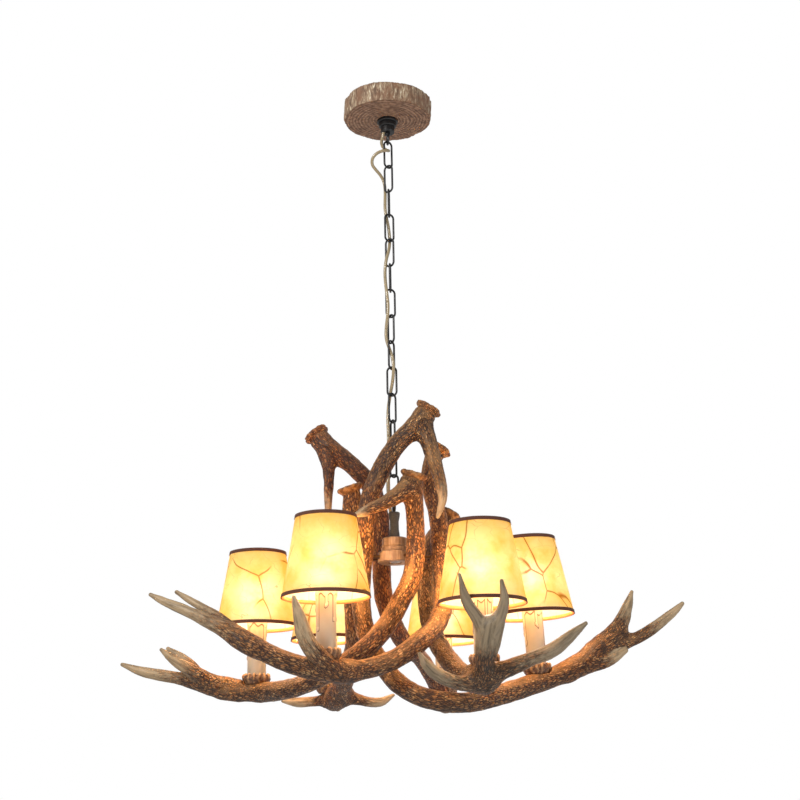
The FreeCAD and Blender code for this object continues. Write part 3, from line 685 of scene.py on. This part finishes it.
def with_root(tine, parents):
    """A tine whose spine starts inside its parent and leaves it at a slant."""
    root = np.array(tine[0][:3], float)

    def gap(parent):
        pts = np.array(parent, float)
        return (np.linalg.norm(pts[:, :3] - root, axis=1) - pts[:, 3]).min()

    pts = smooth_spine(min(parents, key=gap)) / MM
    i = int(np.linalg.norm(pts[:, :3] - root, axis=1).argmin())
    back = max(0, i - ROOT_STEPS)
    if back == i:
        return tine
    inside = pts[back]
    middle = 0.5 * (pts[max(0, i - 1)][:3] + root)
    return [(*inside[:3], inside[3] * 0.75), (*middle, 0.95 * tine[0][3])] + list(tine[1:])


def near_spine(spine, verts):
    """Each point's distance to one horn and its slope, its place in the horn's own axes, the
    share of the horn's length there and the radius there."""
    pts, radii = spine[:, :3], spine[:, 3]
    steps = np.linalg.norm(np.diff(pts, axis=0), axis=1)
    starts = np.concatenate([[0], np.cumsum(steps)])
    value, wide = np.full(len(verts), FAR_AWAY), np.zeros(len(verts))
    slope, own = np.zeros((len(verts), 3)), np.zeros((len(verts), 3))
    across = None
    for i in range(len(pts) - 1):
        direction = (pts[i + 1] - pts[i]) / steps[i]
        if across is None:
            upright = abs(direction[2]) >= 0.9
            across = np.cross([1.0, 0, 0] if upright else [0, 0, 1.0], direction)
        across = across - direction * across.dot(direction)
        across /= np.linalg.norm(across)
        up = np.cross(direction, across)
        relative = verts - pts[i]
        t = np.clip(relative @ direction / steps[i], 0, 1)
        offset = relative - t[:, None] * (pts[i + 1] - pts[i])
        radius = radii[i] + t * (radii[i + 1] - radii[i])
        length = np.sqrt((offset * offset).sum(1)) + 1e-9
        better = length - radius < value
        value = np.where(better, length - radius, value)
        wide = np.where(better, radius, wide)
        slope[better] = offset[better] / length[better, None]
        run = starts[i] + t * steps[i]
        own[better] = np.stack([offset @ across, offset @ up, run], axis=1)[better]
    return value, slope, own, own[:, 2] / starts[-1], wide


def field(spines, verts, pale_from, bases):
    """Distance of each point to the antler, its gradient, its place on the nearest spine and
    how pale it is. pale_from and bases hold where each spine turns pale and how pale it starts."""
    total = gradient = width = None
    place, tip = np.zeros((len(verts), 3)), np.zeros(len(verts))
    nearest = np.full(len(verts), FAR_AWAY)
    for number, spine in enumerate(spines):
        value, slope, own, share, wide = near_spine(spine, verts)
        own[:, 2] += number * SPINE_APART
        first = pale_from[number]
        far = bases[number] + (1 - bases[number]) * np.clip(
            (share - first) / max(1 - first, 0.01), 0, 1)
        closer = value < nearest
        nearest = np.where(closer, value, nearest)
        place[closer] = own[closer]
        tip = np.where(closer, far, tip)
        if total is None:
            total, gradient, width = value, slope, wide
            continue
        reach = BLEND * np.minimum(width, wide)
        h = np.clip(0.5 + 0.5 * (value - total) / reach, 0, 1)
        width = np.where(value < total, wide, width)
        total = value + (total - value) * h - reach * h * (1 - h)
        gradient = slope + (gradient - slope) * h[:, None]
    gradient /= np.linalg.norm(gradient, axis=1)[:, None] + 1e-9
    return total, gradient, place, tip


# the beam from its foot, then each tine from the horn that bears it, as points of x, y, height
# over the hub's base, and radius
ANTLERS = {
    "front_left": [
        [(77, 46, 202, 15), (66, 44, 182, 15), (60, 40, 142, 15), (72, 20, 75, 15), (73, 0, 17, 15),
         (76, -42, -63, 15), (63, -81, -109, 15), (36, -107, -140, 15), (-2, -124, -167, 14.5),
         (-49, -141, -183, 15), (-102, -168, -187, 16), (-156, -180, -175, 14.5),
         (-213, -180, -148, 14), (-262, -174, -119, 10.5), (-313, -163, -93, 8),
         (-344, -156, -79, 6), (-365, -152, -68, 3)],
        [(-228, -172, -134, 11), (-256, -161, -110, 8.5), (-282, -150, -92, 7),
         (-307, -140, -76, 5.5), (-329, -133, -62, 2.5)],
        [(-87, -183, -183, 12), (-117, -204, -163, 13.5), (-130, -215, -141, 12.5),
         (-138, -222, -112, 8.5), (-145, -228, -88, 3)]],
    "right": [
        [(60, -44, 247, 15), (44, -44, 222, 15.5), (22, -44, 202, 15.5), (0, -45, 176, 15),
         (-29, -50, 122, 15), (-45, -48, 63, 15), (-49, -22, 15, 15), (-55, -15, -59, 15),
         (-44, -30, -124, 14.5), (-10, -70, -185, 14.5), (27, -94, -216, 14.5), (74, -92, -228, 15),
         (126, -69, -225, 15), (219, -26, -196, 16), (278, -16, -174, 15), (320, -14, -145, 16),
         (346, -10, -127, 14)],
        [(332, -12, -143, 14), (356, -8, -105, 12), (369, -4, -78, 8.5), (378, 0, -54, 3)],
        [(328, -12, -143, 13), (372, -12, -132, 9.5), (403, -18, -116, 9), (435, -24, -93, 7),
         (452, -28, -78, 3)],
        [(294, -18, -170, 12), (328, -24, -166, 9), (359, -22, -149, 4)],
        [(46, -47, 217, 14), (55, -52, 196, 14), (62, -58, 167, 12.5), (71, -64, 133, 10.5),
         (76, -67, 108, 9), (78, -69, 88, 6.5), (73, -71, 70, 5), (69, -73, 59, 2.5)]],
    "left": [
        [(34, -72, 130, 15), (29, -70, 113, 15), (32, -62, 91, 15), (34, -38, 31, 15),
         (27, -48, -31, 15), (7, -62, -72, 15), (-16, -82, -113, 15), (-47, -92, -147, 15),
         (-86, -84, -172, 14.5), (-125, -61, -189, 14.5), (-173, -19, -199, 15),
         (-226, 52, -196, 16), (-295, 62, -186, 14), (-352, 64, -171, 10.5), (-409, 64, -160, 8),
         (-446, 62, -147, 3)],
        [(-285, 52, -182, 11), (-332, 44, -160, 10.5), (-360, 36, -142, 8), (-378, 32, -128, 3)],
        [(-304, 70, -174, 10), (-346, 84, -141, 8), (-378, 94, -119, 3)],
        [(24, -75, 107, 13.5), (12, -82, 97, 13), (-1, -88, 87, 12), (-17, -92, 77, 10),
         (-36, -94, 69, 9), (-49, -96, 63, 7), (-59, -98, 59, 4)]],
    "front_right": [
        [(96, 62, 86, 15), (77, 51, 64, 15), (58, 42, 30, 15), (50, 24, -40, 15),
         (57, -8, -108, 15), (79, -54, -160, 15), (105, -100, -191, 15), (129, -156, -199, 17)],
        [(128, -154, -202, 15), (128, -192, -182, 13), (132, -208, -155, 12.5),
         (136, -215, -132, 13)],
        [(131, -210, -147, 12), (118, -219, -121, 9), (103, -227, -97, 7.5), (94, -233, -60, 2.5)],
        [(137, -210, -147, 12), (150, -224, -121, 9.5), (157, -233, -97, 7), (154, -237, -71, 2.5)],
        [(124, -163, -203, 14), (158, -172, -190, 13), (196, -174, -176, 10.5),
         (229, -170, -163, 11), (259, -165, -141, 8), (281, -161, -124, 3)],
        [(130, -163, -206, 13), (96, -172, -209, 11), (63, -180, -198, 9.5), (45, -185, -183, 7.5),
         (35, -188, -167, 3)]],
    "back_right": [
        [(-129, 24, 225, 15), (-114, 20, 205, 15), (-76, 17, 174, 15), (-39, 20, 133, 15),
         (-24, 35, 80, 15), (-23, 44, 26, 15), (-19, 52, -50, 15), (9, 91, -112, 14.5),
         (40, 165, -136, 14), (64, 220, -168, 14), (74, 243, -194, 14.5), (82, 266, -201, 15),
         (84, 290, -203, 11), (86, 308, -198, 4)],
        [(80, 275, -202, 12), (112, 300, -199, 9), (148, 322, -190, 3)],
        [(-112, 18, 199, 13), (-109, 14, 178, 12.5), (-107, 11, 159, 10.5), (-107, 9, 137, 8.5),
         (-108, 8, 107, 6.8), (-108, 8, 81, 5), (-108, 8, 67, 2.5)]],
    "back_left": [
        [(-72, -8, 125, 15), (-68, -6, 112, 15), (-70, 0, 72, 15), (-69, 12, 9, 15),
         (-69, 24, -54, 15), (-68, 52, -114, 15), (-81, 122, -158, 15), (-98, 201, -183, 15),
         (-112, 249, -198, 16)],
        [(-102, 227, -190, 14), (-140, 249, -196, 9), (-175, 254, -197, 8), (-202, 258, -194, 3)],
        [(-98, 222, -186, 13), (-62, 238, -198, 9), (-32, 246, -200, 8), (-8, 250, -188, 3)],
        [(-102, 230, -186, 13), (-103, 242, -200, 9), (-104, 248, -210, 4)]],
}

# share of its length after which a beam, and then each of its tines, turns pale
PALE_FROM = {
    "front_left": (0.76, 0.30, 0.15),
    "right": (1.0, 0.30, 0.35, 0.40, 0.55),
    "left": (0.80, 0.25, 0.30, 0.75),
    "front_right": (1.0, 0.45, 0.10, 0.10, 0.05, 0.15),
    "back_right": (0.86, 0.40, 0.42),
    "back_left": (1.0, 0.30, 0.30, 0.50),
}
# the burr's rim: mm along the beam from its foot, and share of the beam's radius
BURR_RIM = [(1.5, 0.05), (0.8, 0.6), (-0.6, 1.1), (-1.8, 1.34), (-0.4, 1.47), (2.0, 1.50),
            (4.2, 1.44), (6.0, 1.28), (8.5, 1.12), (13.0, 0.92), (13.0, 0.05)]


def horn_rows(spine, sides=16):
    """Rings round a spine, with its radii, closed by a dome at the tip."""
    rows = []
    centres = [Vector(p[:3]) for p in spine]
    for i, (centre, along, across, up) in enumerate(framed(centres)):
        radius = spine[i][3]
        dome = (0, 0.5, 1.0, 1.4) if i == len(spine) - 1 else (0,)
        for a in dome:
            rows.append(circle(centre + along * (math.sin(a) * radius), across, up,
                               math.cos(a) * radius, sides))
    return rows


def rim_rows(foot, along, radius, sides=48):
    """The burr's knobbly rim round the foot of a beam."""
    along = Vector(along)
    across = along.orthogonal().normalized()
    up = along.cross(across)
    rows = []
    for ahead, wide in BURR_RIM:
        row = []
        for k in range(sides):
            a = 2 * math.pi * k / sides
            knob = 1 + (0.035 * math.sin(9 * a) + 0.03 * math.sin(4 * a + 1)) * (wide > 1.2)
            row.append(Vector(foot) + along * (ahead * MM)
                       + (across * math.cos(a) + up * math.sin(a)) * (radius * wide * knob))
        rows.append(row)
    return rows


def make_antler(name, material, voxel):
    """The antler drawn smoothly over its spines, then carved."""
    node = "antler_" + name
    beam, *tines = [[(x, y, HUB_BASE + h, r) for x, y, h, r in line] for line in ANTLERS[name]]
    lines = [beam]
    for tine in tines:
        lines.append(with_root(tine, lines))
    spines = [smooth_spine(line) for line in lines]
    pale = PALE_FROM[name]
    bases = [0.0]
    for number, spine in enumerate(spines[1:], 1):
        start = np.array([spine[min(3, len(spine) - 1)][:3]])
        bases.append(float(field(spines[:number], start, pale, bases)[3][0]))
    foot, foot_along = np.array(beam[0][:3]) * MM, np.array(beam[1][:3]) - np.array(beam[0][:3])
    foot_along /= np.linalg.norm(foot_along)
    horns = [grid_mesh("horn", horn_rows(spine)) for spine in spines]
    horns.append(grid_mesh("rim", rim_rows(foot, foot_along, beam[0][3] * MM)))
    mesh = remeshed(joined(horns, node + "_base"), voxel * MM)
    verts = coordinates(mesh)

    def rim_share(verts, reach):
        """1 at the rim, and 0 past its reach along the beam."""
        near = np.linalg.norm(verts - foot, axis=1) < RIM_NEAR
        beyond = (verts - foot) @ foot_along
        return np.where(near, np.clip((reach - beyond) / RIM_FADE, 0, 1), 0)

    for _ in range(PULLS):
        total, gradient, place, tip = field(spines, verts, pale, bases)
        pull = np.clip(total, -LONGEST_PULL, LONGEST_PULL) * (1 - rim_share(verts, RIM_KEPT))
        verts = verts - gradient * (pull * PULLED_SHARE)[:, None]
    set_coordinates(mesh, verts)
    verts, outward = surface(mesh)
    total, gradient, place, tip = field(spines, verts, pale, bases)
    burr = rim_share(verts, RIM_CARVED)
    worms = noise_rows(place * np.array([1, 1, 0.34]), 240, 2, (5, 9, 2))
    ridges = noise_rows(place * np.array([1, 1, 0.12]), 80, 2, (2, 6, 1))
    lumps = noise_rows(verts, 32, 2, (1, 4, 8))
    knobs = noise_rows(verts, 170, 2, (8, 3, 5))
    flat = np.clip(1.0 - 1.1 * tip, 0.05, 1) * (1 - 0.8 * burr)
    depth = (WORM_DEPTH * worms + RIDGE_DEPTH * ridges) * flat + LUMP_DEPTH * lumps + burr * knobs
    verts = verts + outward * (depth * MM)[:, None]
    set_coordinates(mesh, seated(name, verts))
    # the rubbed share rises with lumps (wear) and on upward-facing sides (painted light from above)
    store(mesh, grain=place, tipness=tip, flute=np.clip(0.5 + 0.55 * worms, 0, 1),
          worn=np.clip(0.5 + 0.5 * outward[:, 2] + 0.3 * lumps, 0, 1), burr=burr,
          knob=np.clip(0.5 + 0.7 * knobs, 0, 1))
    piece("carved_" + node, mesh, node, material)


def seated(name, verts):
    """Where the cup stands, the antler stays under it."""
    local = carried(light_frame(name).inverted(), verts)
    under = -(CUP_HEIGHT + SEAT_GAP) * MM
    inside = (np.hypot(local[:, 0], local[:, 1]) < SEAT_RADIUS * MM) \
        & (local[:, 2] > under) & (local[:, 2] < SEAT_ABOVE * MM)
    local[inside, 2] = under
    out = verts.copy()
    out[inside] = carried(light_frame(name), local)[inside]
    return out


# ---- canopy
CANOPY_VOXEL = 1.6
BARK_FROM = 68.5             # radius inside which the canopy has no bark


def make_canopy():
    """The CAD's cover with bark carved into its side."""
    mesh = remeshed(copied_mesh("canopy", "canopy_base"), CANOPY_VOXEL * MM)
    verts, outward = surface(mesh)
    radius = np.hypot(verts[:, 0], verts[:, 1])
    flat = np.abs(outward[:, 2])
    side = np.clip((radius - BARK_FROM * MM) / 0.003, 0, 1) * np.clip((0.85 - flat) / 0.25, 0, 1)
    strands = noise_rows(verts * np.array([1, 1, 0.22]), 130, 3, (2, 2, 2))
    knots = noise_rows(verts, 60, 2, (7, 0, 1))
    depth = side * (1.5 * strands + 0.8 * knots) - 0.2 * (1 - side)
    set_coordinates(mesh, verts + outward * (depth * MM)[:, None])
    store(mesh, side=side, reach=radius)
    piece("bark_canopy", mesh, "canopy", BARK)


# ---- lights
SLEEVE_LOW, SLEEVE_HIGH, SLEEVE_RADIUS, SLEEVE_WALL = -8.0, 88.0, 15.1, 1.6
WAX = 1.15                   # how far the wax stands off the sleeve
# a run's place round the sleeve, how that shifts from candle to candle, length and half width
WAX_RUNS = [(0.35, 1.3, 34, 2.1), (1.35, 1.0, 18, 2.6), (2.2, 0.7, 46, 1.9),
            (3.0, 1.0, 22, 2.4), (3.9, 1.1, 52, 2.0), (4.8, 1.0, 16, 2.6), (5.6, 0.9, 38, 1.9)]


def wax_height(a, z, seed):
    """The wax's share of its full height at one place: a scalloped lip and runs with beads."""
    lip = 8.0 + 2.4 * math.sin(7 * a + seed) + 1.2 * math.sin(3 * a + 2 * seed)
    edge = SLEEVE_HIGH - lip
    height = 1 / (1 + math.exp(-(z - edge) / 0.55))
    for start, shift, length, half in WAX_RUNS:
        bead = edge - length
        if not bead - 1.5 < z < edge + 1:
            continue
        gap = (a - (start + seed * shift) + math.pi) % (2 * math.pi) - math.pi
        width = half * (1.15 if z - bead < 5 else 0.85)
        end = min(1, max(0, (z - bead + 1.5) / 3.0))
        shape = math.sqrt(max(0.0, 1 - (gap * SLEEVE_RADIUS / width) ** 2)) * math.sqrt(end)
        height = max(height, shape * (1.15 if z - bead < 4 else 0.8))
    return height


def make_candle(name, seed):
    """A sleeve with wax runs under a scalloped lip."""
    around, up = 96, 96
    angles = [2 * math.pi * j / around for j in range(around)]
    rows, drips = [], []
    for i in range(up + 1):
        z = SLEEVE_LOW + (SLEEVE_HIGH - SLEEVE_LOW) * i / up
        heights = [wax_height(a, z, seed) for a in angles]
        rows.append(level_ring(angles, [SLEEVE_RADIUS + WAX * height for height in heights], z))
        drips += heights
    bore = [SLEEVE_RADIUS - SLEEVE_WALL] * around
    rows += [level_ring(angles, bore, z) for z in (SLEEVE_HIGH, SLEEVE_LOW)]
    mesh = tube_wall("candle_" + name + "_mesh", rows)
    store(mesh, drip=drips + [1.0] * around + [0.0] * around)
    mesh.transform(light_frame(name))
    piece("wax_candle_" + name, mesh, "candle_" + name, CANDLE)


CUP_VOXEL = 1.0
CUP_KNOBS = 15
SLEEVE_ROOM = 16.8           # radius inside which a cup stays plain, for the sleeve


def make_cup(name):
    """A dark burr with a ring of knobs for its rim."""
    node = "cup_" + name
    mesh = remeshed(copied_mesh(node, node + "_base"), CUP_VOXEL * MM)
    verts, outward = surface(mesh)
    local = carried(light_frame(name).inverted(), verts)
    reach = np.hypot(local[:, 0], local[:, 1])
    free = np.clip((reach - SLEEVE_ROOM * MM) / 0.003, 0, 1)
    wander = noise_rows(verts, 70, 2, (4, 4, 4))
    grit = noise_rows(verts, 260, 2, (1, 2, 3))
    angle = np.arctan2(local[:, 1], local[:, 0])
    crest = np.cos(CUP_KNOBS * angle + 2.5 * wander) * free
    top = np.clip((local[:, 2] + 0.006) / 0.004, 0, 1)
    depth = crest * (0.25 + 0.75 * top) + 0.6 * grit * free
    verts = verts + outward * (depth * MM)[:, None]
    verts[:, 2] += 1.8 * MM * np.clip(crest, 0, 1) * top
    set_coordinates(mesh, verts)
    # the crests' golden share is weighted to the top side: painted highlight of light from above
    store(mesh, crest=np.clip(0.5 + 0.5 * crest * (0.35 + 0.65 * top) + 0.2 * grit, 0, 1))
    piece("burr_" + node, mesh, node, BURR)


SHADE_LOW, SHADE_HIGH = 76.6, 200.0
SHADE_BOTTOM, SHADE_TOP = 66.4, 46.0      # radii
# how far inside the cone its outer and inner faces lie, and how far the sheet's lap stands up
SHADE_FACE, SHADE_WALL, SHADE_LAP = 0.2, 0.8, 0.5
LAP_REACH, LAP_FADE = 0.16, 0.05          # angles in radians
PAPER_SHIFT = (0.31, 0.17, 0.23)          # gives each shade other veins and stains
# a tape's width, how far it stands outside and inside the cone, and how far past the edge
TAPE_WIDTH, TAPE_OUT, TAPE_IN, TAPE_PAST = 5.4, 0.75, 1.7, 0.4


def cone_radius(z):
    return SHADE_BOTTOM + (z - SHADE_LOW) / (SHADE_HIGH - SHADE_LOW) * (SHADE_TOP - SHADE_BOTTOM)


def make_shade(name, seed):
    """The parchment cone with its overlap, and the tapes round its two edges."""
    around, up = 144, 28
    angles = [2 * math.pi * j / around for j in range(around)]
    place = light_frame(name)
    seam = math.radians(60 + 70 * seed)

    def ring(z, inset, overlap=0.0):
        """A slightly wavy ring, raised where the sheet laps over itself."""
        radii = []
        for a in angles:
            gap = (a - seam) % (2 * math.pi)
            lap = overlap * (1 if gap < LAP_REACH else max(0.0, 1 - (gap - LAP_REACH) / LAP_FADE))
            wave = 0.15 * math.sin(5 * a + seed + z * 0.05)
            radii.append(cone_radius(z) - inset + lap + wave)
        return level_ring(angles, radii, z)

    levels = [SHADE_LOW + (SHADE_HIGH - SHADE_LOW) * i / up for i in range(up + 1)]
    rows = [ring(z, SHADE_FACE, SHADE_LAP) for z in levels]
    rows += [ring(z, SHADE_WALL) for z in reversed(levels)]
    mesh = tube_wall("shade_" + name + "_mesh", rows)
    face = around * len(levels)
    heights = [(z - SHADE_LOW) / (SHADE_HIGH - SHADE_LOW) for z in levels]
    store(mesh, inner=[0.0] * face + [1.0] * face,
          height=[h for h in heights + heights[::-1] for _ in angles],
          paper=coordinates(mesh) + np.array(PAPER_SHIFT) * seed)
    mesh.transform(place)
    piece("parchment_" + name, mesh, "shade_" + name, PARCHMENT)
    for part, low in (("bottom", SHADE_LOW - TAPE_PAST),
                      ("top", SHADE_HIGH + TAPE_PAST - TAPE_WIDTH)):
        high = low + TAPE_WIDTH
        outer = [ring(z, -TAPE_OUT) for z in (low, low + 0.5, (low + high) / 2, high - 0.5, high)]
        inner = [ring(z, TAPE_IN) for z in (high, low)]
        tape = tube_wall("trim_%s_%s_mesh" % (part, name), outer + inner)
        store(tape, inside=[0.0] * (around * len(outer)) + [1.0] * (around * len(inner)))
        tape.transform(place)
        obj = link_to_scene(bpy.data.objects.new("trim_%s_%s" % (part, name), tape))
        smooth(tape, TRIM)
        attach(obj, "lampshade_" + name)


# ---- studio
# a warm disc light: its width, its place on the light's axis, its power and its colour
GLOW_SIZE = 0.11
DOWN_HEIGHT, DOWN_POWER, DOWN_COLOUR = 0.088, 0.48, (1.0, 0.53, 0.17)
INWARD_HEIGHT, INWARD_POWER, INWARD_COLOUR = 0.145, 0.55, (1.0, 0.55, 0.20)
INWARD_OUT = 0.072           # from the axis, just outside the shade


def aimed(place, direction):
    turn = Vector(direction).to_track_quat("-Z", "Y").to_matrix().to_4x4()
    return Matrix.Translation(place) @ turn


def area(name, matrix, size, power, colour, shape="SQUARE"):
    """A light that shines along the -Z of its matrix."""
    data = bpy.data.lights.new(name, "AREA")
    data.shape, data.size, data.energy, data.color = shape, size, power, colour
    obj = link_to_scene(bpy.data.objects.new(name, data))
    obj.matrix_world = matrix
    return obj


def glow(name, matrix, power, colour):
    """A disc light that lights its neighbours and is never seen itself."""
    obj = area(name, matrix, GLOW_SIZE, power, colour, "DISK")
    obj.visible_camera = obj.visible_transmission = obj.visible_glossy = False


def shine(name):
    """The light a lamp throws down onto the antlers and through its shade to the middle."""
    axis = light_frame(name)
    glow("glow_down_" + name, axis @ Matrix.Translation((0, 0, DOWN_HEIGHT)), DOWN_POWER,
         DOWN_COLOUR)
    middle = (axis @ Matrix.Translation((0, 0, INWARD_HEIGHT))).translation
    inward = Vector((-middle.x, -middle.y, 0)).normalized()
    glow("glow_in_" + name, aimed(middle + inward * INWARD_OUT, inward), INWARD_POWER,
         INWARD_COLOUR)


ROOM_LIGHT = 0.62            # how strongly the white world lights, where it isn't seen itself
FLOOR_HEIGHT, FLOOR_REACH = -2.4, 6.0
LIT_MIDDLE = Vector((0, 0, -0.9))         # what the two studio lights aim at
STUDIO_LIGHTS = (("key", (-1.5, -2.0, 0.5), 0.9, 62, (1.0, 0.97, 0.93)),
                 ("fill", (2.4, -1.6, -1.4), 1.6, 22, (1, 1, 1)))


def studio():
    """A white world, two soft lights and a floor."""
    world = bpy.data.worlds.new("studio")
    world.use_nodes = True
    tree = world.node_tree
    background = tree.nodes["Background"]
    background.inputs[0].default_value = (1, 1, 1, 1)
    seen = tree.nodes.new("ShaderNodeLightPath")
    strength = tree.nodes.new("ShaderNodeMapRange")
    strength.inputs["To Min"].default_value = ROOM_LIGHT
    strength.inputs["To Max"].default_value = 1.0
    tree.links.new(seen.outputs["Is Camera Ray"], strength.inputs["Value"])
    tree.links.new(strength.outputs[0], background.inputs[1])
    bpy.context.scene.world = world
    for name, place, size, power, colour in STUDIO_LIGHTS:
        area(name, aimed(place, LIT_MIDDLE - Vector(place)), size, power, colour)
    floor = bpy.data.meshes.new("floor")
    corners = ((-1, -1), (1, -1), (1, 1), (-1, 1))
    floor.from_pydata([(x * FLOOR_REACH, y * FLOOR_REACH, FLOOR_HEIGHT) for x, y in corners],
                      [], [(0, 1, 2, 3)])
    obj = link_to_scene(bpy.data.objects.new("floor", floor))
    floor.materials.append(simple("floor_look", (0.86, 0.86, 0.86), 0.9, spread=0.01, bump=0.0))


# ---- all of it
PLAIN = {
    "canopy_collar": BLACK, "canopy_eye": BLACK, "hub_eye": BLACK, "hub_neck": GREY,
    "hub_body": WOOD, "mounting_bracket": ZINC, "mounting_tube": ZINC, "bracket_nuts": ZINC,
    "hub_tube_and_nut": ZINC, "lamp_tubes": ZINC, "hub_studs": BRONZE, "lamp_sockets": SOCKET,
    "bulbs": BULB_GLASS,
}
# the antlers that aren't plain brown, and those carved less finely
ANTLER_LOOKS = {"front_right": (WEATHERED, ANTLER_VOXEL), "back_right": (RED, 1.9),
                "back_left": (BROWN, 2.1)}


def main():
    studio()
    make_chain()
    make_cord()
    make_canopy()
    for node, material in PLAIN.items():
        dress(node, material)
    for number, name in enumerate(LIGHTS):
        make_antler(name, *ANTLER_LOOKS.get(name, (BROWN, ANTLER_VOXEL)))
        make_cup(name)
        make_candle(name, number)
        make_shade(name, number)
        dress("shade_frame_" + name, WIRE)
        shine(name)


main()
